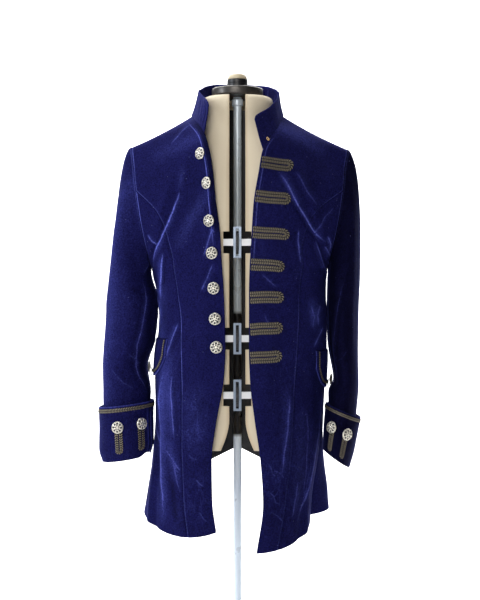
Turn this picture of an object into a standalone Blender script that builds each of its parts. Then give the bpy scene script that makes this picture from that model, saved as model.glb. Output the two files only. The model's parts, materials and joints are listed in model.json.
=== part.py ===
"""A velvet frock coat worn open on a split, adjustable dress form with a pole and a round base.

Metres, +Z up, the wearer's right at -X and the front at -Y. The origin is the centre of the
base's underside. Sizes in the tables are millimetres.
"""

import math
from collections import namedtuple

import bpy
import mathutils
import numpy as np

MM = 0.001

# Cloth and trim
WALL = 2.0  # velvet, interlining and lining together
SEAM = 0.3  # between pieces at a seam, and between a piece and what lies on it
BRAID = 1.8  # thickness of the braid
FRONT_BRAID = 10.4  # width of the braid on the fronts
CUFF_BRAID = 7.4  # width of the braid that hangs under the cuff buttons
FLAP_BRAID = 4.6  # width of the braid on the pocket flaps
BUTTON_RADIUS = 12.4
BUTTON_HEIGHT = 6.4
BUTTON_STAND = 0.9  # from the cloth to a button's shank
BRAID_GAP = 0.45  # from the cloth to the braid, which bridges the cloth's curve

# Pocket flaps
FLAP_WIDTH = 130.0
FLAP_END_DROP = 36.0
FLAP_POINT_DROP = 77.0
FLAP_TOP = {"right": 1020.0, "left": 996.0}
FLAP_MIDDLE = 10.0  # how far in front of the side seam a flap's middle lies
FLAP_BRAID_INSET = 9.0

# Dress form
SHELL = 4.0
SLOT = 17.0  # half the gap between the form's halves in front
BACK_SLOT = 8.0
NOTCH = 28.9  # half the gap at an adjuster
NOTCH_HEIGHT = 44.0
ADJUSTER_HEIGHTS = (1216.0, 1022.0, 908.0)
POLE_RADIUS = 8.6
BASE_RADIUS = 215.0
BASE_HEIGHT = 26.0
CAP_BOTTOM = 1525.6
CAP_TOP = 1543.5
CAP_HALF_WIDTH = 54.0
CAP_HALF_DEPTH = 46.0
RING_RADIUS = 22.0
RING_HEIGHT = 18.0
KNOB_RADIUS = 21.0
SLOT_FLARE, SLOT_FLARE_TOP = 17.0, 856.0  # the slot widens below this height
ADJUSTER_BAR = 14.0
ADJUSTER_FRAME = (16.5, 63.0)
WHEEL_RADIUS = 23.5
WHEEL_WIDTH = 5.0
INNER_HALF_WIDTH, INNER_BOTTOM, INNER_TOP = 56.0, 764.0, 1500.0

OUT = {"right": -1.0, "left": 1.0}

# The coat's fronts: a row for each height, from the hem to the shoulder seam. Each row is one
# curve from the front edge, or the neckline above COLLAR_ROW, to the side seam, or the armhole
# above ARMPIT_ROW. x is measured outwards from the middle. A turn is the angle from the
# sideways direction, in degrees, at which the curve leaves the edge and meets the side.
FrontRow = namedtuple(
    "FrontRow", "edge_x edge_y edge_z edge_turn side_x side_y side_z side_turn edge_pull side_pull"
)
FRONT_ROWS = {
    "right": [
        #        edge x    y     z  turn  side x   y     z  turn  pulls
        FrontRow(43.0, -113.0, 634.0, 2.0, 196.0, 8.0, 656.0, 88.0, 0.44, 0.30),
        FrontRow(51.0, -117.0, 700.0, 2.0, 188.0, 8.0, 706.0, 88.0, 0.45, 0.31),
        FrontRow(52.0, -119.0, 780.0, 2.0, 177.0, 8.0, 782.0, 90.0, 0.45, 0.32),
        FrontRow(42.0, -118.0, 860.0, 2.0, 172.0, 8.0, 860.0, 90.0, 0.45, 0.33),
        FrontRow(28.0, -115.0, 940.0, 2.0, 173.0, 8.0, 940.0, 90.0, 0.46, 0.33),
        FrontRow(25.0, -112.0, 1000.0, 2.0, 170.0, 8.0, 1000.0, 90.0, 0.46, 0.33),
        FrontRow(26.0, -111.0, 1060.0, 3.0, 163.5, 8.0, 1060.0, 90.0, 0.46, 0.33),
        FrontRow(28.0, -113.0, 1116.0, 6.0, 168.5, 7.0, 1114.0, 90.0, 0.46, 0.34),
        FrontRow(31.5, -117.0, 1170.0, 12.0, 179.0, 4.0, 1163.0, 90.0, 0.46, 0.36),
        FrontRow(36.0, -122.0, 1230.0, 32.0, 188.0, -38.0, 1204.0, 66.0, 0.38, 0.32),
        FrontRow(45.0, -125.0, 1298.0, 56.0, 199.0, -50.0, 1258.0, 50.0, 0.32, 0.30),
        FrontRow(52.0, -123.0, 1368.0, 66.0, 210.0, -40.0, 1326.0, 34.0, 0.28, 0.30),
        FrontRow(67.0, -103.0, 1434.0, 64.0, 217.0, -20.0, 1382.0, 20.0, 0.26, 0.30),
        FrontRow(86.0, -52.0, 1467.0, 36.0, 221.0, -6.0, 1410.0, 10.0, 0.28, 0.30),
        FrontRow(97.0, 0.0, 1485.0, 0.0, 222.0, 5.0, 1421.0, 0.0, 0.20, 0.46),
    ],
    "left": [
        FrontRow(39.0, -114.0, 592.0, 0.0, 150.0, -14.0, 652.0, 96.0, 0.44, 0.32),
        FrontRow(52.0, -118.0, 690.0, 0.0, 154.0, -16.0, 700.0, 96.0, 0.45, 0.32),
        FrontRow(47.0, -119.0, 775.0, 0.0, 168.0, -6.0, 780.0, 94.0, 0.45, 0.32),
        FrontRow(35.5, -117.0, 858.0, 0.0, 178.0, 6.0, 860.0, 90.0, 0.45, 0.33),
        FrontRow(26.0, -114.0, 940.0, 0.0, 184.0, 8.0, 940.0, 90.0, 0.46, 0.33),
        FrontRow(24.0, -112.0, 1000.0, 0.0, 187.0, 8.0, 1000.0, 90.0, 0.46, 0.33),
        FrontRow(24.0, -111.0, 1060.0, 0.0, 187.0, 8.0, 1060.0, 90.0, 0.46, 0.33),
        FrontRow(24.0, -113.0, 1116.0, 0.0, 185.0, 7.0, 1114.0, 90.0, 0.46, 0.34),
        FrontRow(25.5, -117.0, 1170.0, 2.0, 188.0, 4.0, 1163.0, 90.0, 0.46, 0.36),
        FrontRow(29.0, -120.0, 1228.0, 4.0, 196.0, -38.0, 1204.0, 66.0, 0.42, 0.32),
        FrontRow(33.0, -119.0, 1292.0, 8.0, 207.0, -50.0, 1258.0, 50.0, 0.38, 0.30),
        FrontRow(43.0, -110.0, 1355.0, 14.0, 218.0, -40.0, 1326.0, 34.0, 0.34, 0.30),
        FrontRow(52.0, -94.0, 1404.0, 18.0, 224.0, -20.0, 1380.0, 20.0, 0.32, 0.30),
        FrontRow(82.0, -52.0, 1452.0, 18.0, 230.0, -6.0, 1409.0, 10.0, 0.30, 0.30),
        FrontRow(97.0, 0.0, 1485.0, 0.0, 229.0, 5.0, 1417.0, 0.0, 0.20, 0.46),
    ],
}

HEM_DIP = {"right": 40.0, "left": 14.0}  # how far the handle of each hem's front end sags

# The backs share the fronts' rows: from the centre seam, the vent's edge below the waist or the
# neckline at the top, to the side seam or the back of the armhole.
BackRow = namedtuple(
    "BackRow", "middle_x middle_y middle_z armhole_y side_turn middle_pull side_pull")
BACK_ROWS = [
    #       middle x   y     z   armhole y, turn  pulls
    BackRow(68.0, 147.0, 672.0, None, 88.0, 0.46, 0.32),
    BackRow(66.0, 144.0, 712.0, None, 88.0, 0.46, 0.32),
    BackRow(61.0, 137.0, 785.0, None, 90.0, 0.46, 0.32),
    BackRow(44.0, 129.0, 860.0, None, 90.0, 0.46, 0.32),
    BackRow(17.0, 120.0, 940.0, None, 90.0, 0.46, 0.32),
    BackRow(3.0, 108.0, 1000.0, None, 90.0, 0.46, 0.32),
    BackRow(0.0, 100.0, 1060.0, None, 90.0, 0.46, 0.32),
    BackRow(0.0, 104.0, 1120.0, None, 90.0, 0.46, 0.32),
    BackRow(0.0, 113.0, 1180.0, None, 90.0, 0.46, 0.32),
    BackRow(0.0, 121.0, 1245.0, 46.0, 62.0, 0.46, 0.32),
    BackRow(0.0, 124.0, 1315.0, 60.0, 46.0, 0.46, 0.32),
    BackRow(0.0, 118.0, 1390.0, 50.0, 32.0, 0.46, 0.32),
    BackRow(0.0, 78.0, 1500.0, 28.0, 18.0, 0.44, 0.34),
    BackRow(58.0, 60.0, 1497.0, 14.0, 8.0, 0.34, 0.40),
    BackRow(97.0, 0.0, 1485.0, 5.0, 0.0, 0.20, 0.46),
]
# How far the back swells out behind each side seam, for each row, as a share of the fullest fold
SIDE_FOLD = {
    "right": [0.0, 0.0, 0.0, 0.10, 0.11, 0.05, 0.02, 0.05, 0.0, 0.0, 0.0, 0.0, 0.0, 0.0, 0.0],
    "left": [1.0, 0.88, 0.48, 0.22, 0.13, 0.06, 0.08, 0.10, 0.0, 0.0, 0.0, 0.0, 0.0, 0.0, 0.0],
}
SIDE_FOLD_TURN, SIDE_FOLD_PULL = 64.0, 0.36
ARMPIT_ROW, COLLAR_ROW, SHOULDER_ROW = 8, 12, 14

# The seam between front and side front, as a share of each row of the front.
PRINCESS = {
    "right": [0.24, 0.26, 0.29, 0.34, 0.38, 0.41, 0.43, 0.45, 0.455, 0.595, 0.715, 1.0],
    "left": [0.22, 0.26, 0.31, 0.35, 0.38, 0.40, 0.42, 0.43, 0.45, 0.50, 0.63, 1.0],
}
PRINCESS_TIP_ROW = 11

# Soft folds pressed into the panels: rows and shares of the row where each one starts and
# ends, half its width and its height, both in millimetres, a trough where the height is negative.
Fold = namedtuple("Fold", "side panel row_0 across_0 row_1 across_1 half_width height")
FOLDS = [
    Fold("right", "front", -1.0, 0.72, 4.4, 0.76, 11.0, 4.5),
    Fold("right", "front", -1.0, 0.60, 3.6, 0.68, 10.0, -3.5),
    Fold("right", "front", 1.0, 0.48, 4.4, 0.62, 12.0, 3.0),
    Fold("right", "front", 8.2, 0.97, 11.4, 0.50, 12.0, 4.0),
    Fold("right", "front", 7.6, 0.90, 10.2, 0.74, 11.0, -3.5),
    Fold("left", "front", -1.0, 0.66, 4.6, 0.60, 12.0, 4.0),
    Fold("left", "front", -1.0, 0.52, 3.0, 0.52, 11.0, -3.0),
    Fold("left", "front", 8.6, 0.90, 12.0, 0.30, 13.0, 4.0),
    Fold("left", "front", 8.0, 0.80, 10.8, 0.52, 12.0, -3.0),
    Fold("right", "back", -1.0, 0.42, 4.0, 0.46, 15.0, 5.0),
    Fold("right", "back", -1.0, 0.70, 3.4, 0.68, 14.0, -4.0),
    Fold("left", "back", -1.0, 0.40, 4.2, 0.44, 15.0, 5.0),
    Fold("left", "back", -1.0, 0.68, 3.2, 0.68, 14.0, -4.0),
]

# Sleeves: oval sections from below the shoulder to the wrist, each with its middle, half width,
# half depth, the angle it is turned by and how far it rises per millimetre across.
Section = namedtuple("Section", "x y z half_width half_depth turn rise")
SLEEVES = {
    "right": [
        Section(-224.8, 8.0, 1128.0, 46.2, 66.0, 10.0, 0.16),
        Section(-221.6, 10.0, 1090.0, 53.4, 65.0, 11.0, 0.10),
        Section(-226.4, 12.0, 1020.0, 52.6, 62.0, 13.0, 0.04),
        Section(-236.2, 10.0, 960.0, 44.8, 60.0, 13.0, 0.02),
        Section(-231.4, -1.0, 905.0, 48.6, 55.0, 12.0, 0.05),
        Section(-232.0, -9.0, 850.0, 45.5, 54.0, 10.0, 0.12),
        Section(-231.0, -16.0, 779.0, 46.4, 55.4, 8.0, 0.15),
    ],
    "left": [
        Section(223.0, 10.0, 1128.0, 33.0, 76.0, -4.0, -0.30),
        Section(222.2, 12.0, 1090.0, 32.8, 77.0, -4.0, -0.16),
        Section(222.0, 14.0, 1020.0, 31.5, 77.0, -3.0, -0.06),
        Section(228.0, 9.0, 936.0, 25.6, 75.5, -2.0, -0.06),
        Section(222.0, 4.0, 905.0, 30.0, 72.0, -4.0, -0.16),
        Section(218.5, -4.0, 850.0, 27.0, 68.0, -7.0, -0.46),
        Section(206.0, -12.0, 777.0, 24.2, 63.2, -8.0, -0.72),
    ],
}
CUFFS = {
    "right": [
        Section(-231.0, -16.0, 773.0, 49.0, 58.0, 8.0, 0.15),
        Section(-231.5, -14.0, 800.0, 55.5, 63.0, 8.0, 0.15),
        Section(-232.0, -10.0, 846.0, 55.5, 64.0, 10.0, 0.14),
        Section(-232.0, -7.0, 884.0, 56.0, 65.5, 12.0, 0.12),
    ],
    "left": [
        Section(206.0, -12.0, 771.0, 27.0, 66.0, -8.0, -0.72),
        Section(211.0, -10.0, 798.0, 30.5, 70.0, -8.0, -0.62),
        Section(217.0, -6.0, 837.0, 34.0, 74.0, -7.0, -0.50),
        Section(221.5, -3.0, 870.0, 36.0, 76.0, -6.0, -0.42),
    ],
}
ARMHOLE_LAP = 2.6  # the sleeve's underarm lies this far outside the body

# The standing collar: how far its top edge lies from its seam, from the right front round the
# back to the left front.
CollarRow = namedtuple("CollarRow", "across lean_x lean_y rise")
COLLAR_ROWS = [
    CollarRow(0.0, 9.0, 24.0, 66.0),
    CollarRow(0.1, 11.8, 22.0, 57.5),
    CollarRow(0.2, 14.5, 12.5, 54.0),
    CollarRow(0.3, 14.3, 1.7, 62.5),
    CollarRow(0.4, 8.0, -3.5, 65.5),
    CollarRow(0.5, 0.0, -6.0, 65.0),
    CollarRow(0.6, -5.0, -3.5, 63.0),
    CollarRow(0.7, -5.0, 2.0, 56.5),
    CollarRow(0.75, -9.5, 6.0, 51.5),
    CollarRow(0.8, -7.5, 10.0, 51.0),
    CollarRow(0.9, -9.0, 15.5, 55.0),
    CollarRow(1.0, -18.0, 14.0, 66.5),
]

# The form's sections: height, half width, depths in front and behind, and how full the curve is.
FormRow = namedtuple("FormRow", "z half_width front back pull")
FORM_ROWS = [
    FormRow(796.0, 152.0, -99.0, 108.0, 0.56),
    FormRow(860.0, 156.0, -102.0, 113.0, 0.56),
    FormRow(930.0, 157.0, -102.0, 109.0, 0.56),
    FormRow(1000.0, 152.0, -98.0, 97.0, 0.56),
    FormRow(1060.0, 148.0, -96.0, 90.0, 0.56),
    FormRow(1120.0, 152.0, -99.0, 93.0, 0.56),
    FormRow(1180.0, 160.0, -104.0, 101.0, 0.56),
    FormRow(1240.0, 167.0, -107.0, 108.0, 0.55),
    FormRow(1300.0, 175.0, -104.0, 110.0, 0.52),
    FormRow(1350.0, 184.0, -96.0, 106.0, 0.47),
    FormRow(1400.0, 187.0, -80.0, 92.0, 0.36),
    FormRow(1424.0, 182.0, -70.0, 84.0, 0.28),
    FormRow(1446.0, 148.0, -61.0, 76.0, 0.24),
    FormRow(1464.0, 115.0, -56.0, 69.0, 0.26),
    FormRow(1482.0, 87.0, -55.0, 62.0, 0.38),
    FormRow(1500.0, 77.0, -58.0, 58.0, 0.50),
    FormRow(1513.0, 75.0, -60.0, 57.0, 0.55),
    FormRow(1522.5, 69.0, -54.0, 52.0, 0.55),
    FormRow(1525.0, 52.0, -42.0, 40.0, 0.55),
]

# Heights of the buttons on the right front and of the braid loops on the left front.
BUTTON_HEIGHTS = (1402.0, 1339.0, 1262.0, 1195.0, 1124.0, 1062.0, 1005.0)
BUTTON_INSETS = (26.0, 19.0, 19.5, 18.0, 19.0, 18.5, 17.0)  # in from the front edge
LOOP_HEIGHTS = (1377.0, 1308.0, 1236.0, 1172.0, 1105.0, 1040.5, 983.0)
LOOP_LENGTHS = (70.0, 74.0, 76.0, 70.0, 70.0, 68.0, 66.0)
LOOP_BEND = 6.6  # radius of the braid's middle line where it doubles back
CUFF_LOOP_LENGTH = 49.0
CUFF_LOOP_BEND = 4.6
FLAP_LOOP_LENGTH = 21.0
FLAP_BUTTON_RISE = 17.0  # from a flap's point up to the middle of its button
LOOP_TILTS = (0.03, 0.06, 0.03, -0.05, 0.02, 0.06, 0.07)  # how far each loop rises outwards
CUFF_BUTTON_SHARES = {"right": (0.25, 0.118), "left": (0.315, 0.19)}  # round the cuff
CUFF_BRAID_AT = np.array([-0.32, -0.10])  # the braid round a cuff, from its top section
CUFF_BUTTON_AT = {"right": 1.9, "left": 1.8}  # up the cuff's sections
FLAP_STAND = 1.5  # how much further a flap's point stands off the cloth than its top
COLLAR_SEAM = 2.0  # the collar's seam, where the cloth turns upwards

# Looks: colour, roughness and metallic value
VELVET = ((0.022, 0.020, 0.160), 0.9, 0.0)
BRAID_LOOK = ((0.105, 0.095, 0.055), 0.7, 0.2)
SILVER = ((0.62, 0.60, 0.56), 0.35, 1.0)
BEIGE = ((0.62, 0.52, 0.36), 0.85, 0.0)
BLACK = ((0.01, 0.01, 0.012), 0.5, 0.0)
CHROME = ((0.70, 0.72, 0.76), 0.15, 1.0)
WHITE = ((0.80, 0.80, 0.82), 0.4, 0.0)


# --- numbers ------------------------------------------------------------------------------


def smooth_table(knots, values, at):
    """Values at `at` on a curve through the knots that never overshoots between two of them."""
    knots, values, at = (np.asarray(a, float) for a in (knots, values, at))
    step = np.diff(knots)
    slope = np.diff(values) / step
    tangent = np.zeros(len(knots))
    inner = slope[:-1] * slope[1:] > 0
    sums = np.where(inner, slope[:-1] + slope[1:], 1.0)
    tangent[1:-1] = np.where(inner, 2 * slope[:-1] * slope[1:] / sums, 0.0)
    tangent[0], tangent[-1] = slope[0], slope[-1]
    i = np.clip(np.searchsorted(knots, at, side="right") - 1, 0, len(step) - 1)
    t = np.clip((at - knots[i]) / step[i], 0, 1)
    return (
        values[i] * (2 * t**3 - 3 * t**2 + 1)
        + values[i + 1] * (3 * t**2 - 2 * t**3)
        + step[i] * (tangent[i] * (t**3 - 2 * t**2 + t) + tangent[i + 1] * (t**3 - t**2))
    )


def column(rows, name, at):
    return smooth_table(range(len(rows)), [getattr(row, name) for row in rows], at)


def row_at(rows, name, value):
    """The row number, with a fraction, where a rising column reaches the value."""
    fine = np.linspace(0, len(rows) - 1, 600)
    return float(np.interp(value, column(rows, name, fine), fine))


def curve(start, leave, arrive, end, t):
    """A cubic curve from start to end, by way of two handles."""
    t = t[..., None]
    return (
        (1 - t) ** 3 * start
        + 3 * (1 - t) ** 2 * t * leave
        + 3 * (1 - t) * t**2 * arrive
        + t**3 * end
    )


def heading(out, degrees):
    turn = np.radians(degrees)
    return np.stack([out * np.cos(turn), np.sin(turn), np.zeros_like(turn)], axis=-1)


def length_of(vectors):
    return np.linalg.norm(vectors, axis=-1, keepdims=True)


def unit(vectors):
    return vectors / np.maximum(length_of(vectors), 1e-9)


# --- the coat's body ------------------------------------------------------------------------


def front_edge(side, row):
    rows = FRONT_ROWS[side]
    return np.stack(
        [OUT[side] * column(rows, "edge_x", row), column(rows, "edge_y", row),
         column(rows, "edge_z", row)], axis=-1)


def back_middle(side, row):
    return np.stack(
        [OUT[side] * column(BACK_ROWS, "middle_x", row), column(BACK_ROWS, "middle_y", row),
         column(BACK_ROWS, "middle_z", row)], axis=-1)


def side_seam(side, row, panel):
    """A panel's outer end: the side seam, and above the armpit its own edge of the armhole."""
    rows = FRONT_ROWS[side]
    low = [front.side_y for front in rows[: ARMPIT_ROW + 1]]
    high = [front.side_y for front in rows[ARMPIT_ROW:]]
    if panel == "back":
        high[1:] = [back.armhole_y for back in BACK_ROWS[ARMPIT_ROW + 1:]]
    below = smooth_table(range(ARMPIT_ROW + 1), low, row)
    above = smooth_table(range(ARMPIT_ROW, SHOULDER_ROW + 1), high, row)
    y = np.where(np.asarray(row) <= ARMPIT_ROW, below, above)
    return np.stack([OUT[side] * column(rows, "side_x", row), y,
                     column(rows, "side_z", row)], axis=-1)


def fold_height(side, panel, row, across, span):
    """How far the folds lift the cloth at a place, in millimetres; span is the row's length."""
    total = np.zeros(np.broadcast(row, across).shape)
    for fold in FOLDS:
        if (fold.side, fold.panel) != (side, panel):
            continue
        along = (row - fold.row_0) / (fold.row_1 - fold.row_0)
        middle = fold.across_0 + (fold.across_1 - fold.across_0) * along
        away = (across - middle) * span / fold.half_width
        inside = np.clip(along, 0, 1)
        fade = np.clip(4 * inside * (1 - inside), 0, 1) if fold.row_0 >= 0 else 1 - inside**2
        fade = np.where((along > 0) & (along < 1), fade, 0)
        total += fold.height * fade * np.exp(-(away**2))
    return total


def panel_point(side, panel, row, across, folded=True):
    """A point of the cloth's middle surface. across runs from the front edge, or the centre
    back, at 0 to the side seam or armhole at 1."""
    row, across = np.broadcast_arrays(np.asarray(row, float), np.asarray(across, float))
    out = OUT[side]
    end = side_seam(side, row, panel)
    if panel == "front":
        rows = FRONT_ROWS[side]
        start = front_edge(side, row)
        leave_turn, arrive_turn = column(rows, "edge_turn", row), column(rows, "side_turn", row)
        leave_pull, arrive_pull = column(rows, "edge_pull", row), column(rows, "side_pull", row)
    else:
        start = back_middle(side, row)
        leave_turn = np.zeros_like(row)
        arrive_turn = -column(BACK_ROWS, "side_turn", row)
        leave_pull = column(BACK_ROWS, "middle_pull", row)
        arrive_pull = column(BACK_ROWS, "side_pull", row)
        flare = smooth_table(np.arange(len(SIDE_FOLD[side])), SIDE_FOLD[side], row)
        arrive_turn = arrive_turn - SIDE_FOLD_TURN * flare
        arrive_pull = arrive_pull + SIDE_FOLD_PULL * flare
    chord = length_of(end - start)
    leave = start + heading(out, leave_turn) * chord * leave_pull[..., None]
    arrive = end - heading(out, arrive_turn) * chord * arrive_pull[..., None]
    drop = end[..., 2] - start[..., 2]
    leave[..., 2] = start[..., 2] + 0.28 * drop
    arrive[..., 2] = start[..., 2] + 0.57 * drop
    if panel == "front":
        leave[..., 2] -= HEM_DIP[side] * np.clip(1 - row, 0, 1)
    point = curve(start, leave, arrive, end, across)
    if folded:
        lift = fold_height(side, panel, row, across, chord[..., 0] * 1.1)
        point = point + panel_normal(side, panel, row, across) * lift[..., None]
    return point


def panel_normal(side, panel, row, across, folded=False):
    """The outward direction, from the surface's two slopes."""
    step = 0.01
    row, across = np.broadcast_arrays(np.asarray(row, float), np.asarray(across, float))
    low, high = np.clip(row - step, 0, SHOULDER_ROW), np.clip(row + step, 0, SHOULDER_ROW)
    near, far = np.clip(across - step, 0, 1), np.clip(across + step, 0, 1)
    up = (panel_point(side, panel, high, across, folded)
          - panel_point(side, panel, low, across, folded))
    over = (panel_point(side, panel, row, far, folded)
            - panel_point(side, panel, row, near, folded))
    turned = OUT[side] * (1.0 if panel == "front" else -1.0)
    return unit(np.cross(over, up)) * turned


def seam_normal(side, panel, row, across):
    """panel_normal, shared by the two panels that meet at a side seam or a shoulder seam."""
    own = panel_normal(side, panel, row, across, True)
    other = panel_normal(side, "back" if panel == "front" else "front", row, across, True)
    at_side = (np.asarray(across) > 0.98) & (np.asarray(row) < ARMPIT_ROW)
    shared = at_side | (np.asarray(row) > SHOULDER_ROW - 0.1)
    return np.where(shared[..., None], unit(own + other), own)


def across_at(side, panel, row, distance):
    """The share of a row that lies a distance from its start, measured along the cloth."""
    fine = np.linspace(0, 1, 60)
    line = panel_point(side, panel, np.full_like(fine, row), fine)
    walked = np.concatenate([[0], np.cumsum(length_of(np.diff(line, axis=0))[:, 0])])
    return np.interp(distance, walked, fine), walked[-1]


def seam_share(side, panel, row):
    """Half a seam's gap as a share of each row."""
    return SEAM / 2 / across_at(side, panel, float(row), 0.0)[1]


# --- meshes -----------------------------------------------------------------------------------


def new_collection(name):
    made = bpy.data.collections.new(name)
    bpy.context.scene.collection.children.link(made)
    return made


def new_material(name, look):
    colour, roughness, metallic = look
    made = bpy.data.materials.new(name)
    made.use_nodes = True
    shader = made.node_tree.nodes["Principled BSDF"]
    shader.inputs["Base Color"].default_value = (*colour, 1.0)
    shader.inputs["Roughness"].default_value = roughness
    shader.inputs["Metallic"].default_value = metallic
    made.diffuse_color = (*colour, 1.0)
    return made


def finish(made, look):
    """Gives a mesh object its material and smooth shading, and puts it with the other parts."""
    for old in list(made.users_collection):
        old.objects.unlink(made)
    coat.objects.link(made)
    made.data.materials.clear()
    made.data.materials.append(new_material(made.name, look))
    if made.type == "MESH":
        made.data.shade_smooth()
        made.data.set_sharp_from_angle(angle=math.radians(40))
    return made


def add_mesh(name, points, faces, look, edges=()):
    """An object from points in millimetres."""
    mesh = bpy.data.meshes.new(name)
    mesh.from_pydata((np.asarray(points, float) * MM).tolist(), list(edges), faces)
    return finish(bpy.data.objects.new(name, mesh), look)


def add_outline(name, outlines, front, back, look):
    """A flat piece in the upright plane: closed outlines of x and z, holes included, filled
    between two depths."""
    flat = bpy.data.curves.new(name, "CURVE")
    flat.dimensions = "2D"
    flat.fill_mode = "BOTH"
    flat.extrude = (back - front) / 2 * MM
    for outline in outlines:
        line = flat.splines.new("POLY")
        line.points.add(len(outline) - 1)
        for point, (x, z) in zip(line.points, outline):
            point.co = (x * MM, z * MM, 0, 1)
        line.use_cyclic_u = True
    made = bpy.data.objects.new(name, flat)
    made.rotation_euler.x = math.radians(90)
    made.location.y = (front + back) / 2 * MM
    return finish(made, look)


def add_turned(name, profile, steps, look):
    """A turned piece about +Z from a profile of radius and height, top to bottom."""
    points = [(radius, 0.0, height) for radius, height in profile]
    made = add_mesh(name, points, [], look, [(i, i + 1) for i in range(len(points) - 1)])
    screw = made.modifiers.new("turn", "SCREW")
    screw.axis = "Z"
    screw.steps = screw.render_steps = steps
    screw.use_merge_vertices = True
    screw.merge_threshold = 0.00005
    screw.use_smooth_shade = True
    return made


def grid_faces(rows, columns, closed):
    """Four-sided faces over a grid of points, row by row; closed joins the last column to the
    first."""
    last = columns if closed else columns - 1
    return [
        (r * columns + c, r * columns + (c + 1) % columns,
         (r + 1) * columns + (c + 1) % columns, (r + 1) * columns + c)
        for r in range(rows - 1)
        for c in range(last)
    ]


def add_sheet(name, points, normals, thickness, look, closed=False):
    """A wall of even thickness about a grid of points: the grid moved out, the grid moved in
    and a rim that joins them."""
    rows, columns = points.shape[:2]
    outer = (points + normals * thickness / 2).reshape(-1, 3)
    inner = (points - normals * thickness / 2).reshape(-1, 3)
    faces = grid_faces(rows, columns, closed)
    middle = faces[len(faces) // 2]
    a, b, c = outer[middle[0]], outer[middle[1]], outer[middle[2]]
    if np.dot(np.cross(b - a, c - a), normals.reshape(-1, 3)[middle[0]]) < 0:
        faces = [face[::-1] for face in faces]
    count = rows * columns
    shell = faces + [tuple(i + count for i in face[::-1]) for face in faces]
    edges = {edge for face in faces for edge in zip(face, face[1:] + face[:1])}
    rim = [(j, i, i + count, j + count) for i, j in sorted(edges) if (j, i) not in edges]
    return add_mesh(name, np.vstack([outer, inner]), shell + rim, look)


# --- the coat's panels --------------------------------------------------------------------------


def add_panel(name, side, panel, heights, start, end, columns):
    """A cloth panel over a list of rows; start and end give its limits across each row."""
    across = np.array([np.linspace(start(row), end(row), columns) for row in heights])
    heights = np.repeat(np.array(heights)[:, None], columns, axis=1)
    points = panel_point(side, panel, heights, across)
    if heights[-1, 0] == SHOULDER_ROW:
        below = panel_point(side, panel, heights[-1] - 0.1, across[-1])
        points[-1] += unit(below - points[-1]) * SEAM / 2
    normals = seam_normal(side, panel, heights, across)
    return add_sheet(name, points, normals, WALL, VELVET)


def add_body(side):
    """The front, the side front and the back of one side."""
    shares = PRINCESS[side]

    def seam_at(row):
        return float(smooth_table(range(len(shares)), shares, min(row, PRINCESS_TIP_ROW)))

    def gap(panel):
        return lambda row: seam_share(side, panel, row)

    def to_side(panel):
        return lambda row: 1 - seam_share(side, panel, row)

    rows = list(np.linspace(0, 6, 9)) + list(np.arange(6.5, SHOULDER_ROW + 0.1, 0.5))
    low = [row for row in rows if row < PRINCESS_TIP_ROW] + [PRINCESS_TIP_ROW - 0.06]
    add_panel(f"front_{side}", side, "front", rows, lambda row: 0.0,
              lambda row: seam_at(row) - gap("front")(row), 10)
    add_panel(f"side_front_{side}", side, "front", low,
              lambda row: seam_at(row) + gap("front")(row), to_side("front"), 7)
    add_panel(f"back_{side}", side, "back", rows, lambda row: 2 * gap("back")(row),
              to_side("back"), 11)


def neckline():
    """The points round the neck, from the right front over the back to the left front, and
    the panels' outward directions there."""
    points, normals = [], []
    for side, panel, rows in (
        ("right", "front", np.linspace(COLLAR_ROW, SHOULDER_ROW, 16)),
        ("right", "back", np.linspace(SHOULDER_ROW, COLLAR_ROW, 16)[1:]),
        ("left", "back", np.linspace(COLLAR_ROW, SHOULDER_ROW, 16)[1:]),
        ("left", "front", np.linspace(SHOULDER_ROW, COLLAR_ROW, 16)[1:]),
    ):
        points.append(panel_point(side, panel, rows, np.zeros_like(rows)))
        normals.append(panel_normal(side, panel, rows, np.zeros_like(rows)))
    return np.vstack(points), np.vstack(normals)


def collar_grid(across, height):
    """Points of the collar: across runs round the neck and height from the seam to the top."""
    line, sloped = neckline()
    walked = np.concatenate([[0], np.cumsum(length_of(np.diff(line, axis=0))[:, 0])])
    at = np.asarray(across) * walked[-1]
    base = np.stack([np.interp(at, walked, line[:, k]) for k in range(3)], axis=-1)
    flat = unit(np.stack([np.interp(at, walked, sloped[:, k]) for k in range(3)], axis=-1))
    knots = [row.across for row in COLLAR_ROWS]
    lean = np.stack([smooth_table(knots, [getattr(row, name) for row in COLLAR_ROWS], across)
                     for name in ("lean_x", "lean_y", "rise")], axis=-1)
    rise = COLLAR_SEAM / length_of(lean)[..., 0]
    share = rise + (1 - rise) * height
    return base + lean * share[..., None], flat


def add_collar():
    across, height = np.meshgrid(np.linspace(0, 1, 29), np.linspace(0, 1, 4))
    points, sloped = collar_grid(across, height)
    along = np.gradient(points, axis=1)
    up = np.gradient(points, axis=0)
    normals = unit(np.cross(along, up))
    normals[0] = unit(normals[0] + sloped[0])
    return add_sheet("collar", points, normals, WALL, VELVET)


# --- sleeves and cuffs ----------------------------------------------------------------------------


def oval_point(rows, side, round_share, at):
    """A point of a table of ovals. round_share runs from the side next to the body at 0
    over the front at 0.25."""
    middle = np.stack([column(rows, name, at) for name in "xyz"], axis=-1)
    wide, deep = column(rows, "half_width", at), column(rows, "half_depth", at)
    turn = np.radians(column(rows, "turn", at)) * OUT[side]
    angle = 2 * np.pi * round_share
    x, y = -OUT[side] * wide * np.cos(angle), -deep * np.sin(angle)
    offset = np.stack([x * np.cos(turn) - y * np.sin(turn),
                       x * np.sin(turn) + y * np.cos(turn), np.zeros_like(x)], axis=-1)
    offset[..., 2] = offset[..., 0] * column(rows, "rise", at)
    return middle + offset


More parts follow.
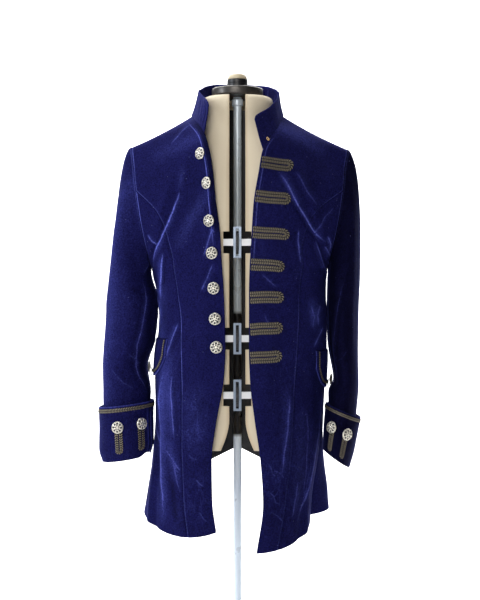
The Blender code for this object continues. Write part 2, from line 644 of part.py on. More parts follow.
def armhole(side, round_share):
    """The sleeve's upper edge, the panels' outward direction there and how much of the
    underarm's lap it has."""
    lines = {}
    for panel in ("front", "back"):
        rows = np.linspace(ARMPIT_ROW, SHOULDER_ROW, 60)
        line = side_seam(side, rows, panel)
        walked = np.concatenate([[0], np.cumsum(length_of(np.diff(line, axis=0))[:, 0])])
        lines[panel] = rows, walked / walked[-1]
    points, normals, laps, leaves = [], [], [], []
    for share in np.ravel(round_share):
        panel = "front" if share <= 0.5 else "back"
        rows, walked = lines[panel]
        row = np.interp(1 - abs(1 - 2 * share), walked, rows)
        edge, within = (panel_point(side, panel, row, a, False) for a in (1.0, 0.98))
        normal = panel_normal(side, panel, row, 1.0)
        lap = float(np.clip(1 - (row - ARMPIT_ROW) / 2.6, 0, 1))
        over = unit(edge - within)
        slack = SEAM + 3.4 * lap * (1 - lap)
        points.append(edge + over * slack * (1 - lap) + normal * ARMHOLE_LAP * lap)
        normals.append(normal)
        laps.append(lap)
        leaves.append(over)
    return tuple(np.array(a) for a in (points, normals, laps, leaves))


def sleeve_grid(side, around, cap_rings, arm_rings):
    """Points of a sleeve: rings over the shoulder's cap, then down the arm's ovals."""
    rows = SLEEVES[side]
    share = np.linspace(0, 1, around, endpoint=False)
    start, normal, lap, over = armhole(side, share)
    first = oval_point(rows, side, share, np.zeros_like(share))
    second = oval_point(rows, side, share, np.full_like(share, 0.3))
    chord = length_of(first - start)
    top = (0.5 - 0.5 * np.cos(2 * np.pi * share))[:, None]
    outward = np.array([OUT[side], 0.0, 0.0])
    down = np.array([0.0, 0.0, -1.0])
    leave_heading = unit(over * (1 - lap[:, None]) * 0.5 + outward * top * 0.9 + down * (1.3 - top))
    leave = start + leave_heading * chord * (0.33 - 0.23 * top)
    arrive = first - unit(second - first) * chord * (0.33 + 0.15 * top)
    rings = [curve(start, leave, arrive, first, np.full(around, t))
             for t in np.linspace(0, 1, cap_rings, endpoint=False)]
    rings += [oval_point(rows, side, share, np.full(around, at))
              for at in np.linspace(0, len(rows) - 1, arm_rings)]
    points = np.array(rings)
    normals = ring_normals(points, side)
    normals[0] = unit(normals[0] * (0.25 + lap[:, None]) + normal * (1 - lap[:, None]))
    return points, normals


def ring_normals(points, side):
    """Outward directions over a stack of rings."""
    round_way = np.roll(points, -1, axis=1) - np.roll(points, 1, axis=1)
    down_way = np.gradient(points, axis=0)
    return unit(np.cross(down_way, round_way)) * OUT[side]


def add_sleeve(side):
    points, normals = sleeve_grid(side, 18, 6, 10)
    add_sheet(f"sleeve_{side}", points, normals, WALL, VELVET, closed=True)


def cuff_point(side, round_share, at):
    """A point of the cuff and its outward direction; at runs from the lower edge at 0."""
    rows = CUFFS[side]
    step = 0.01
    point = oval_point(rows, side, round_share, at)
    ahead = oval_point(rows, side, round_share + step, at)
    above = oval_point(rows, side, round_share, np.minimum(at + step, len(rows) - 1.0))
    below = oval_point(rows, side, round_share, np.maximum(at - step, 0.0))
    return point, unit(np.cross(ahead - point, above - below)) * OUT[side]


def add_cuff(side):
    top = len(CUFFS[side]) - 1.0
    share, at = np.meshgrid(np.linspace(0, 1, 24, endpoint=False), np.linspace(0, top, 4))
    points, normals = cuff_point(side, share, at)
    add_sheet(f"cuff_{side}", points, normals, WALL, VELVET, closed=True)
    share, at = np.meshgrid(np.linspace(0, 1, 24, endpoint=False), CUFF_BRAID_AT + top)
    points, normals = cuff_point(side, share, at)
    points = points + normals * (WALL / 2 + SEAM + BRAID / 2)
    add_sheet(f"cuff_braid_{side}", points, normals, BRAID, BRAID_LOOK, closed=True)


# --- braid, flaps and buttons ----------------------------------------------------------------------


def doubled_back(start, length, bend, width):
    """The middle line of a braid that runs out, turns round and comes back."""
    reach = length - bend - width / 2
    turn = np.linspace(np.pi / 2, -np.pi / 2, 6)
    out_and_back = np.linspace(start, reach, 5)[:-1]
    top = [(a, bend) for a in out_and_back]
    bottom = [(a, -bend) for a in out_and_back[::-1]]
    return np.array(top + [(reach + bend * math.cos(t), bend * math.sin(t)) for t in turn] + bottom)


def add_braid(name, path, width, place):
    """A braid laid along a path in a surface's own two distances; place gives the point and
    the outward direction there."""
    along = np.gradient(path, axis=0)
    along /= np.maximum(np.linalg.norm(along, axis=1, keepdims=True), 1e-9)
    across = np.stack([-along[:, 1], along[:, 0]], axis=-1) * width / 2
    spots = [path + across * share for share in (-1, 1)]
    placed = [[place(a, b) for a, b in spot] for spot in spots]
    points = np.array([[spot[0] for spot in line] for line in placed])
    normals = np.array([[spot[1] for spot in line] for line in placed])
    return add_sheet(name, points, normals, BRAID, BRAID_LOOK)


def add_button(name, point, normal):
    shares = [(0.0, 1.0), (0.55, 0.90), (0.88, 0.62), (1.0, 0.30), (0.45, 0.20), (0.42, 0.0),
              (0.0, 0.0)]
    profile = [(radius * BUTTON_RADIUS, height * BUTTON_HEIGHT) for radius, height in shares]
    made = add_turned(name, profile, 10, SILVER)
    made.location = (point * MM).tolist()
    facing = mathutils.Vector(normal.tolist())
    made.rotation_mode = "QUATERNION"
    made.rotation_quaternion = facing.to_track_quat("Z", "Y")
    return made


def front_place(side, lift):
    """A place on a front from its distance to the front edge and its height."""
    def place(distance, height):
        row = row_at(FRONT_ROWS[side], "edge_z", height)
        across, _ = across_at(side, "front", row, distance)
        point = panel_point(side, "front", row, across)
        normal = panel_normal(side, "front", row, across, True)
        return point + normal * lift, normal
    return place


def side_place(side, lift):
    """A place near the side seam from its distance in front of the seam and its height."""
    def place(ahead, height):
        row = row_at(FRONT_ROWS[side], "side_z", height)
        panel = "front" if ahead >= 0 else "back"
        _, whole = across_at(side, panel, row, 0.0)
        across, _ = across_at(side, panel, row, whole - abs(ahead))
        point = panel_point(side, panel, row, across)
        normal = seam_normal(side, panel, np.array(row), np.array(across))
        return point + normal * lift, normal
    return place


def cuff_place(side, share, middle, lift):
    """A place on a cuff from its distance below a point and its distance across."""
    def place(below, sideways):
        girth = 2 * np.pi * math.hypot(CUFFS[side][2].half_width, CUFFS[side][2].half_depth)
        height = CUFFS[side][-1].z - CUFFS[side][0].z
        at = middle - below / height * (len(CUFFS[side]) - 1)
        point, normal = cuff_point(
            side, np.array(share + sideways / girth * math.sqrt(2)), np.array(at))
        return point + normal * lift, normal
    return place


def add_front_trim():
    """Seven buttons down the right front and seven loops of braid down the left."""
    place = front_place("right", WALL / 2 + BUTTON_STAND)
    for number, (height, inset) in enumerate(zip(BUTTON_HEIGHTS, BUTTON_INSETS), 1):
        add_button(f"front_button_{number}", *place(inset, height))
    place = front_place("left", WALL / 2 + BRAID_GAP + BRAID / 2)
    loops = zip(LOOP_HEIGHTS, LOOP_LENGTHS, LOOP_TILTS)
    for number, (height, length, tilt) in enumerate(loops, 1):
        path = doubled_back(1.5, length, LOOP_BEND, FRONT_BRAID)
        line = path + np.stack([0 * path[:, 0], height + tilt * path[:, 0]], axis=-1)
        add_braid(f"front_loop_{number}", line, FRONT_BRAID, place)


def add_cuff_trim(side):
    on_cloth = WALL / 2 + SEAM
    path = doubled_back(0.0, CUFF_LOOP_LENGTH, CUFF_LOOP_BEND, CUFF_BRAID)
    for number, share in enumerate(CUFF_BUTTON_SHARES[side], 1):
        place = cuff_place(side, share, CUFF_BUTTON_AT[side], on_cloth + BRAID / 2)
        add_braid(f"cuff_loop_{side}_{number}", path, CUFF_BRAID, place)
        seat = cuff_place(side, share, CUFF_BUTTON_AT[side], on_cloth + BRAID + SEAM)
        add_button(f"cuff_button_{side}_{number}", *seat(0.0, 0.0))


def flap_drop(ahead):
    """How far a flap hangs below its top edge."""
    inwards = np.clip(1 - np.abs(ahead) / (FLAP_WIDTH / 2), 0, 1)
    return FLAP_END_DROP + (FLAP_POINT_DROP - FLAP_END_DROP) * (1 - (1 - inwards) ** 3.4)


def add_flap(side):
    half, top, on_cloth = FLAP_WIDTH / 2, FLAP_TOP[side], WALL / 2 + BRAID_GAP

    def place_at(lift):
        place = side_place(side, 0.0)

        def on_flap(ahead, below):
            point, normal = place(ahead + FLAP_MIDDLE, top - below)
            stand = FLAP_STAND * below / FLAP_POINT_DROP
            return point + normal * (lift + stand), normal
        return on_flap

    aheads = np.linspace(-half, half, 13)
    shares = np.linspace(0, 1, 4)
    placed = [[place_at(on_cloth + WALL / 2)(a, s * flap_drop(a)) for a in aheads] for s in shares]
    points = np.array([[spot[0] for spot in line] for line in placed])
    normals = np.array([[spot[1] for spot in line] for line in placed])
    add_sheet(f"flap_{side}", points, normals, WALL, VELVET)

    edge = half - FLAP_BRAID_INSET
    bend = edge * np.sin(np.linspace(-np.pi / 2, np.pi / 2, 15))
    below = [(a, flap_drop(a) - FLAP_BRAID_INSET - 12.0 * (a / edge) ** 8) for a in bend]
    path = np.array([(-edge, 2.0)] + below + [(edge, 2.0)])
    on_flap = on_cloth + WALL + SEAM
    add_braid(f"flap_braid_{side}", path, FLAP_BRAID, place_at(on_flap + BRAID / 2))
    button_drop = FLAP_POINT_DROP - FLAP_BUTTON_RISE
    loop = doubled_back(0.0, FLAP_LOOP_LENGTH, CUFF_LOOP_BEND, CUFF_BRAID)
    loop = np.stack([loop[:, 1], loop[:, 0] + button_drop], axis=-1)
    loop_lift = on_flap + BRAID + SEAM
    add_braid(f"flap_loop_{side}", loop, CUFF_BRAID, place_at(loop_lift + BRAID / 2))
    add_button(f"flap_button_{side}", *place_at(loop_lift + BRAID + SEAM)(0.0, button_drop))


# --- the dress form ----------------------------------------------------------------------------------


def form_point(side, row, round_share):
    """A point of the form: round_share runs from the slot in front at 0 over the side at 1 to
    the slot behind at 2."""
    height, wide, front, back, pull = (
        column(FORM_ROWS, name, row) for name in FormRow._fields)
    ends = SLOT_FLARE * np.clip((SLOT_FLARE_TOP - height) / 60, 0, 1) ** 1.6
    ahead = round_share <= 1
    near, depth = np.where(ahead, SLOT + ends, BACK_SLOT), np.where(ahead, front, back)
    start = np.stack([OUT[side] * near, depth, height], axis=-1)
    end = np.stack([OUT[side] * wide, 0 * depth, height], axis=-1)
    leave, arrive = start.copy(), end.copy()
    leave[..., 0] += OUT[side] * pull * (wide - near)
    arrive[..., 1] += pull * depth
    return curve(start, leave, arrive, end, np.where(ahead, round_share, 2 - round_share))


def add_form(side):
    """One half of the form's body, a shell with notches where the adjusters sit."""
    share, row = np.meshgrid(np.linspace(0, 2, 13), np.arange(len(FORM_ROWS)))
    points = form_point(side, row, share)
    normals = unit(np.cross(np.gradient(points, axis=1), np.gradient(points, axis=0))) * OUT[side]
    made = add_sheet(f"form_{side}", points - normals * SHELL / 2, normals, SHELL, BEIGE)
    for number, notch in enumerate(notches, 1):
        cut = made.modifiers.new(f"notch_{number}", "BOOLEAN")
        cut.operation = "DIFFERENCE"
        cut.object = notch


def add_notches():
    """The boxes that cut the notches, hidden from the part."""
    for number, height in enumerate(ADJUSTER_HEIGHTS, 1):
        bpy.ops.mesh.primitive_cube_add(size=1, location=(0, -0.1, height * MM))
        cutter = bpy.context.object
        cutter.name = f"notch_cutter_{number}"
        cutter.scale = (2 * NOTCH * MM, 0.08, NOTCH_HEIGHT * MM)
        cutter.hide_render = True
        cutter.display_type = "WIRE"
        for old in list(cutter.users_collection):
            old.objects.unlink(cutter)
        cutters.objects.link(cutter)
        notches.append(cutter)


def add_adjuster(number, height):
    """A cross of white arms and a bright frame with a thumbwheel in its slot."""
    row = row_at(FORM_ROWS, "z", height)
    front = float(column(FORM_ROWS, "front", row))
    arm, bar = NOTCH - SEAM - 0.1, ADJUSTER_BAR / 2
    wide, tall = ADJUSTER_FRAME[0] / 2, ADJUSTER_FRAME[1] / 2
    quarter = [(arm, bar), (wide, bar), (wide, tall)]
    cross = quarter + [(-x, z) for x, z in quarter[::-1]]
    cross += [(-x, -z) for x, z in quarter] + [(x, -z) for x, z in quarter[::-1]]
    slot_x, slot_z = WHEEL_WIDTH / 2 + SEAM, tall - 4.5
    slot = [(slot_x, slot_z), (-slot_x, slot_z), (-slot_x, -slot_z), (slot_x, -slot_z)]
    outlines = [[(x, height + z) for x, z in line] for line in (cross, slot)]
    add_outline(f"adjuster_{number}", outlines, front - 2, front + 4, WHITE)
    bpy.ops.mesh.primitive_cylinder_add(
        vertices=24, radius=WHEEL_RADIUS * MM, depth=WHEEL_WIDTH * MM,
        location=(0, (front + 13.0) * MM, height * MM), rotation=(0, math.radians(90), 0))
    bpy.context.object.name = f"adjuster_wheel_{number}"
    finish(bpy.context.object, BLACK)


def add_stand():
    """The dark inner wall, the neck cap with its ring and knob, the pole and the base."""
    inner = INNER_HALF_WIDTH
    outline = [(-inner, INNER_BOTTOM), (0, INNER_BOTTOM + 28), (inner, INNER_BOTTOM),
               (inner, INNER_TOP), (-inner, INNER_TOP)]
    behind_pole = POLE_RADIUS + SEAM
    add_outline("form_inner", [outline], behind_pole, behind_pole + 4, BLACK)
    bpy.ops.mesh.primitive_cylinder_add(
        vertices=32, radius=1, depth=1, location=(0, 0, (CAP_BOTTOM + CAP_TOP) / 2 * MM))
    cap = bpy.context.object
    cap.name = "neck_cap"
    cap.scale = (CAP_HALF_WIDTH * MM, CAP_HALF_DEPTH * MM, (CAP_TOP - CAP_BOTTOM) * MM)
    finish(cap, CHROME)
    ring = CAP_TOP + SEAM
    ring_top = ring + RING_HEIGHT
    add_turned("neck_ring", [(0.0, ring_top), (RING_RADIUS, ring_top), (RING_RADIUS, ring),
                             (0.0, ring)], 24, BLACK)
    knob = ring_top + SEAM
    add_turned("knob", [(0.0, knob + 13.4), (11.0, knob + 12.6), (18.0, knob + 9.2),
                        (KNOB_RADIUS, knob + 3.6), (KNOB_RADIUS, knob), (0.0, knob)], 24, BEIGE)
    pole_top, pole_end = CAP_BOTTOM - SEAM, BASE_HEIGHT + SEAM
    add_turned("pole", [(0.0, pole_top), (POLE_RADIUS, pole_top), (POLE_RADIUS, 1522.0),
                        (12.0, 1520.0), (12.0, 1508.0), (POLE_RADIUS, 1506.0),
                        (POLE_RADIUS, pole_end), (0.0, pole_end)], 16, CHROME)
    add_turned("base", [(0.0, BASE_HEIGHT), (22.0, BASE_HEIGHT), (26.0, 18.0),
                        (BASE_RADIUS - 14, 10.0), (BASE_RADIUS, 5.0), (BASE_RADIUS, 0.0),
                        (0.0, 0.0)], 32, BLACK)


for _old in list(bpy.data.objects):
    bpy.data.objects.remove(_old)
coat = new_collection("frock_coat")
cutters = new_collection("cutters")
notches = []
for _side in OUT:
    add_body(_side)
    add_sleeve(_side)
    add_cuff(_side)
    add_cuff_trim(_side)
    add_flap(_side)
add_collar()
add_front_trim()
add_notches()
for _side in OUT:
    add_form(_side)
for _number, _height in enumerate(ADJUSTER_HEIGHTS, 1):
    add_adjuster(_number, _height)
add_stand()
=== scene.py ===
# Looks for a velvet frock coat on a split dress form. Sizes in the tables are millimetres,
# the wearer's right is at -X and the front at -Y, as in the frame.
import itertools
import json
import math

import bpy
import numpy as np
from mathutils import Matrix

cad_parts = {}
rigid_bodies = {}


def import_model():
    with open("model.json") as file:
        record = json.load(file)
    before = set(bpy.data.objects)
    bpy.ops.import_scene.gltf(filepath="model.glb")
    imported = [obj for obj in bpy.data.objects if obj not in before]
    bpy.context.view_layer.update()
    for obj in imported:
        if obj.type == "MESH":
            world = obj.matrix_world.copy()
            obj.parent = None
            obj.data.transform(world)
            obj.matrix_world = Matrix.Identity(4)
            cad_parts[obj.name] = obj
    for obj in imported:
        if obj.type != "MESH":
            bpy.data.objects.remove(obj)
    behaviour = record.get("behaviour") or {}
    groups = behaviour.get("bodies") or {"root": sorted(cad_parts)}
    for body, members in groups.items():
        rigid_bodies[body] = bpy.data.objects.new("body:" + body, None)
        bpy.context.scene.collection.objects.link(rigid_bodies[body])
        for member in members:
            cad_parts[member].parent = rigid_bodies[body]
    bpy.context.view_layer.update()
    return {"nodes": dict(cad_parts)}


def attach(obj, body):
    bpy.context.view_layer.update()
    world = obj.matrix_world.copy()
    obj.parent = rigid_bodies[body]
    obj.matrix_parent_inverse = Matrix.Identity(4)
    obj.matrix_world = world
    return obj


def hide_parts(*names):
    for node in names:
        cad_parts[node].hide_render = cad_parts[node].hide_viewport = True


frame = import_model()
mm = 0.001
sideSign = {"right": -1.0, "left": 1.0}


# camera, floor and light

def addCamera():
    view = dict(place=(0.00525, -2.5, 1.10), pictureHeight=1.26, sensor=36.0)
    lens = bpy.data.cameras.new("camera")
    lens.sensor_fit = "VERTICAL"
    lens.sensor_height = view["sensor"]
    lens.sensor_width = view["sensor"] * 0.8
    lens.lens = view["sensor"] * -view["place"][1] / view["pictureHeight"]
    camera = bpy.data.objects.new("camera", lens)
    camera.location = view["place"]
    camera.rotation_euler = (math.radians(90), 0, 0)
    bpy.context.scene.collection.objects.link(camera)
    bpy.context.scene.camera = camera


def addLight(name, place, aim, size, watts, colour):
    lamp = bpy.data.lights.new(name, "AREA")
    lamp.shape = "RECTANGLE"
    lamp.size, lamp.size_y = size
    lamp.energy = watts
    lamp.color = colour
    made = bpy.data.objects.new(name, lamp)
    made.location = place
    away = np.array(place) - np.array(aim)
    made.rotation_euler = (
        math.atan2(math.hypot(away[0], away[1]), away[2]), 0, math.atan2(away[0], -away[1]))
    bpy.context.scene.collection.objects.link(made)


def addStage():
    lights = [
        ("windowLeft", (-3.05, -1.25, 2.0), (0, 0, 1.1), (1.2, 2.2), 58, (0.86, 0.92, 1.0)),
        ("fillFront", (-0.6, -3.4, 2.0), (0, 0, 1.1), (1.2, 1.2), 44, (1.0, 0.97, 0.92)),
        ("overHead", (-0.7, -0.1, 3.4), (0, 0.1, 1.2), (1.6, 1.2), 30, (0.97, 0.98, 1.0)),
        ("wallLight", (0.0, 1.5, 3.4), (0, 3.4, 1.0), (5.0, 1.4), 420, (1.0, 1.0, 1.0)),
    ]
    for light in lights:
        addLight(*light)
    world = bpy.data.worlds.new("studio")
    world.use_nodes = True
    # the surroundings are light on the left and dark on the right
    tree = world.node_tree
    direction = put(tree, "TexCoord").outputs["Generated"]
    way = put(tree, "SeparateXYZ", {"Vector": direction}).outputs["X"]
    share = plus(tree, times(tree, way, 0.5), 0.5)
    sky = tree.nodes["Background"]
    tree.links.new(ramp(tree, share, [(0.0, (0.80, 0.88, 1.0)), (0.5, (0.34, 0.35, 0.38)),
                                      (1.0, (0.04, 0.04, 0.045))]), sky.inputs["Color"])
    sky.inputs["Strength"].default_value = 0.34
    bpy.context.scene.world = world
    bpy.context.scene.view_settings.view_transform = "Standard"

    # the floor runs back and turns up in a quarter circle into a wall
    sweep = dict(front=-5.0, bend=2.2, radius=1.2, top=5.0, half=6.0)
    turn = np.linspace(0, np.pi / 2, 24)
    ys = np.concatenate([[sweep["front"]], sweep["bend"] + sweep["radius"] * np.sin(turn),
                         [sweep["bend"] + sweep["radius"]]])
    zs = np.concatenate([[0], sweep["radius"] * (1 - np.cos(turn)), [sweep["top"]]])
    grid = np.array([[(x, y, z) for x in (-sweep["half"], sweep["half"])] for y, z in zip(ys, zs)])
    gridPiece("floor", grid / mm, paleFloor())
    # and a flat floor just under it, which goes on behind the wall
    half, under = 2 * sweep["half"], 0.004
    flat = np.array([[(x, y, -under) for x in (-half, half)] for y in (-half, half)])
    gridPiece("floorBehind", flat / mm, plainLook("floorPaint", **floorFinish))
    print("stage: camera, four lights and a pale floor")


# numbers

def smoothCurve(knots, values, at):
    # values on a curve through the knots that never overshoots between two of them
    knots, values, at = (np.asarray(a, float) for a in (knots, values, at))
    step = np.diff(knots)
    slope = np.diff(values) / step
    tangent = np.zeros(len(knots))
    inner = slope[:-1] * slope[1:] > 0
    sums = np.where(inner, slope[:-1] + slope[1:], 1.0)
    tangent[1:-1] = np.where(inner, 2 * slope[:-1] * slope[1:] / sums, 0.0)
    tangent[0], tangent[-1] = slope[0], slope[-1]
    i = np.clip(np.searchsorted(knots, at, side="right") - 1, 0, len(step) - 1)
    t = np.clip((at - knots[i]) / step[i], 0, 1)
    return (values[i] * (2 * t**3 - 3 * t**2 + 1) + values[i + 1] * (3 * t**2 - 2 * t**3)
            + step[i] * (tangent[i] * (t**3 - 2 * t**2 + t) + tangent[i + 1] * (t**3 - t**2)))


def tableOf(names, rows):
    return dict(zip(names.split(), np.array(rows, float).T))


def along(table, name, at):
    return smoothCurve(np.arange(len(table[name])), table[name], at)


def cubic(start, leave, arrive, end, t):
    # a cubic curve from start to end, by way of two handles
    t = np.asarray(t)[..., None]
    return ((1 - t) ** 3 * start + 3 * (1 - t) ** 2 * t * leave
            + 3 * (1 - t) * t**2 * arrive + t**3 * end)


def lengthOf(v):
    return np.linalg.norm(v, axis=-1, keepdims=True)


def unit(v):
    return v / np.maximum(lengthOf(v), 1e-9)


def smoothStep(low, high, x):
    t = np.clip((x - low) / (high - low), 0, 1)
    return t * t * (3 - 2 * t)


def band(a, b, c, d, x):
    # rises from 0 to 1 between a and b, and falls back between c and d
    return smoothStep(a, b, x) * (1 - smoothStep(c, d, x))


def walkedAlong(points, axis=0):
    # the distance from the first point, along a line of points or each line of a grid
    first = np.take(points, [0], axis=axis)
    return np.cumsum(lengthOf(np.diff(points, axis=axis, prepend=first))[..., 0], axis=axis)


def slopeNormals(points):
    # directions square to a grid of points, from its own neighbours
    return unit(np.cross(np.gradient(points, axis=1), np.gradient(points, axis=0)))


def waves(a, b, seed, size):
    # an uneven field from -1 to 1: five sine waves in as many directions
    spin = np.random.default_rng(seed)
    total = 0.0
    for k in range(5):
        angle, phase = spin.uniform(0, 2 * np.pi, 2)
        pitch = size * spin.uniform(0.6, 1.6)
        total = total + np.sin(2 * np.pi * (a * np.cos(angle) + b * np.sin(angle)) / pitch + phase)
    return total / 5


# meshes

def keep(piece, material, *replaced):
    piece.data.materials.clear()
    piece.data.materials.append(material)
    bpy.context.scene.collection.objects.link(piece)
    if replaced:
        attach(piece, "root")
        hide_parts(*replaced)
    return piece


def meshFrom(name, points, faces, masks=None):
    mesh = bpy.data.meshes.new(name)
    mesh.from_pydata((np.asarray(points).reshape(-1, 3) * mm).tolist(), [], faces)
    for title, values in (masks or {}).items():
        layer = mesh.attributes.new(title, "FLOAT", "POINT")
        layer.data.foreach_set("value", np.asarray(values, np.float32).ravel())
    mesh.shade_smooth()
    mesh.set_sharp_from_angle(angle=math.radians(50))
    return bpy.data.objects.new(name, mesh)


def gridFaces(rows, columns, ring=False, stack=False):
    # four-sided faces over a grid of points; ring joins the last column to the first and
    # stack the last row to the first
    r = np.arange(rows if stack else rows - 1)[:, None]
    c = np.arange(columns if ring else columns - 1)[None, :]
    up, over = (r + 1) % rows, (c + 1) % columns
    corners = [r * columns + c, r * columns + over, up * columns + over, up * columns + c]
    return np.stack(np.broadcast_arrays(*corners), axis=-1).reshape(-1, 4)


def gridPiece(name, points, material):
    return keep(meshFrom(name, points, gridFaces(*points.shape[:2]).tolist()), material)


def wallOf(name, points, normals, thick, material, masks, ring=False, soft=0.45):
    # a cloth wall about a grid: the grid moved out and the grid moved in, and between them a
    # rim that is pushed out at half depth, so that the edge is round
    rows, columns = points.shape[:2]
    outer, inner = points + normals * thick / 2, points - normals * thick / 2
    count = rows * columns
    faces = gridFaces(rows, columns, ring)
    first = faces[len(faces) // 2]
    corner = outer.reshape(-1, 3)[first]
    if np.dot(np.cross(corner[1] - corner[0], corner[2] - corner[0]),
              normals.reshape(-1, 3)[first[0]]) < 0:
        faces = faces[:, ::-1]
    pairs = np.concatenate([faces[:, [0, 1]], faces[:, [1, 2]], faces[:, [2, 3]], faces[:, [3, 0]]])
    code = pairs[:, 0] * (count + 1) + pairs[:, 1]
    back = pairs[:, 1] * (count + 1) + pairs[:, 0]
    rim = pairs[~np.isin(code, back)]
    edgeIds = np.unique(rim)
    flat, out = points.reshape(-1, 3), np.zeros((count, 3))
    step = points.copy()
    step[0], step[-1] = 2 * points[0] - points[1], 2 * points[-1] - points[-2]
    away = step - points
    if not ring:
        away[:, 0] += points[:, 0] - points[:, 1]
        away[:, -1] += points[:, -1] - points[:, -2]
    out[edgeIds] = unit(away.reshape(-1, 3)[edgeIds])
    middle = flat[edgeIds] + out[edgeIds] * thick * soft
    where = np.full(count, -1)
    where[edgeIds] = np.arange(len(edgeIds)) + 2 * count
    i, j = rim[:, 0], rim[:, 1]
    outerRim = np.stack([j, i, where[i], where[j]], axis=-1)
    innerRim = np.stack([where[j], where[i], i + count, j + count], axis=-1)
    shell = np.concatenate([faces, faces[:, ::-1] + count, outerRim, innerRim])
    spots = np.concatenate([outer.reshape(-1, 3), inner.reshape(-1, 3), middle])
    full = {}
    for title, values in masks.items():
        values = np.asarray(values, float).ravel()
        share = 0.3 if title in ("paintedSheen", "paintedShade", "trim") else 0.0
        full[title] = np.concatenate([values, values * share, values[edgeIds]])
    keep(meshFrom(name, spots, shell.tolist(), full), material, name)


def clothWall(name, points, normals, masks, ring=False, side="right"):
    # a velvet wall; the left sleeve and cuff take a darker copy of the velvet, which paints the shade that
    # falls on them
    wallOf(name, points, normals, 2.0, velvets[side], masks, ring)


def latheFaces(rows, steps):
    # faces of a body of rings with a tip at each end; the tips' numbers follow the rings'
    faces = gridFaces(rows, steps, ring=True)[:, ::-1].tolist()
    tip, last = rows * steps, (rows - 1) * steps
    for k in range(steps):
        after = (k + 1) % steps
        faces += [(tip, k, after), (tip + 1, last + after, last + k)]
    return faces


def turned(name, corners, steps, material, depth=1.0):
    # a rounded profile turned about the upright line through the origin, with both its ends on
    # that line; depth scales it from front to back
    profile = np.array(rounded(corners))
    angle = np.linspace(0, 2 * np.pi, steps, endpoint=False)
    body = profile[1:-1]
    x, y = body[:, :1] * np.cos(angle), body[:, :1] * np.sin(angle) * depth
    z = np.repeat(body[:, 1:], steps, axis=1)
    points = np.stack([x, y, z], axis=-1).reshape(-1, 3)
    ends = [(0, 0, profile[0, 1]), (0, 0, profile[-1, 1])]
    made = meshFrom(name, np.vstack([points, ends]), latheFaces(len(body), steps))
    made.data.set_sharp_from_angle(angle=math.radians(35))
    keep(made, material, name)


def rounded(corners):
    # a profile whose corners are each cut by a small arc: (radius, height, cut)
    out = []
    for k, (radius, height, cut) in enumerate(corners):
        here = np.array([radius, height], float)
        if cut == 0 or k in (0, len(corners) - 1):
            out.append(here)
            continue
        before, after = (np.array(corners[m][:2], float) for m in (k - 1, k + 1))
        a = here + (before - here) / np.linalg.norm(before - here) * cut
        b = here + (after - here) / np.linalg.norm(after - here) * cut
        for t in np.linspace(0, 1, 6):
            out.append((1 - t) ** 2 * a + 2 * (1 - t) * t * here + t**2 * b)
    return out


# shader groups and materials

def newGroup(name, inputs, outputs):
    group = bpy.data.node_groups.new(name, "ShaderNodeTree")
    for title, kind, value in inputs:
        made = group.interface.new_socket(title, in_out="INPUT", socket_type=kind)
        if value is not None:
            made.default_value = value
    for title, kind in outputs:
        group.interface.new_socket(title, in_out="OUTPUT", socket_type=kind)
    return group, group.nodes.new("NodeGroupInput"), group.nodes.new("NodeGroupOutput")


def put(tree, kind, links=None, **values):
    # one node: values set its sockets or properties, links join sockets of other nodes
    node = tree.nodes.new("ShaderNode" + kind)
    for title, value in values.items():
        title = title.replace("_", " ")
        if title in node.inputs:
            node.inputs[title].default_value = value
        else:
            setattr(node, title.replace(" ", "_"), value)
    for title, source in (links or {}).items():
        tree.links.new(source, node.inputs[title])
    return node


def ramp(tree, source, stops):
    node = put(tree, "ValToRGB", {"Fac": source})
    bar = node.color_ramp.elements
    while len(bar) < len(stops):
        bar.new(0.5)
    for element, (place, colour) in zip(bar, stops):
        element.position = place
        element.color = (*colour, 1) if len(np.shape(colour)) else (colour, colour, colour, 1)
    return node.outputs["Color"]


def math2(tree, operation, a, b):
    node = tree.nodes.new("ShaderNodeMath")
    node.operation = operation
    for k, value in enumerate((a, b)):
        if isinstance(value, (int, float)):
            node.inputs[k].default_value = value
        else:
            tree.links.new(value, node.inputs[k])
    return node.outputs[0]


def times(tree, a, b):
    return math2(tree, "MULTIPLY", a, b)


def plus(tree, a, b):
    return math2(tree, "ADD", a, b)


def minus(tree, a, b):
    return math2(tree, "SUBTRACT", a, b)


def blend(tree, factor, a, b):
    node = tree.nodes.new("ShaderNodeMix")
    node.data_type = "RGBA"
    for socket, value in ((node.inputs[0], factor), (node.inputs[6], a), (node.inputs[7], b)):
        if hasattr(value, "links"):
            tree.links.new(value, socket)
        elif isinstance(value, (int, float)):
            socket.default_value = value
        else:
            socket.default_value = (*value, 1)
    return node.outputs[2]


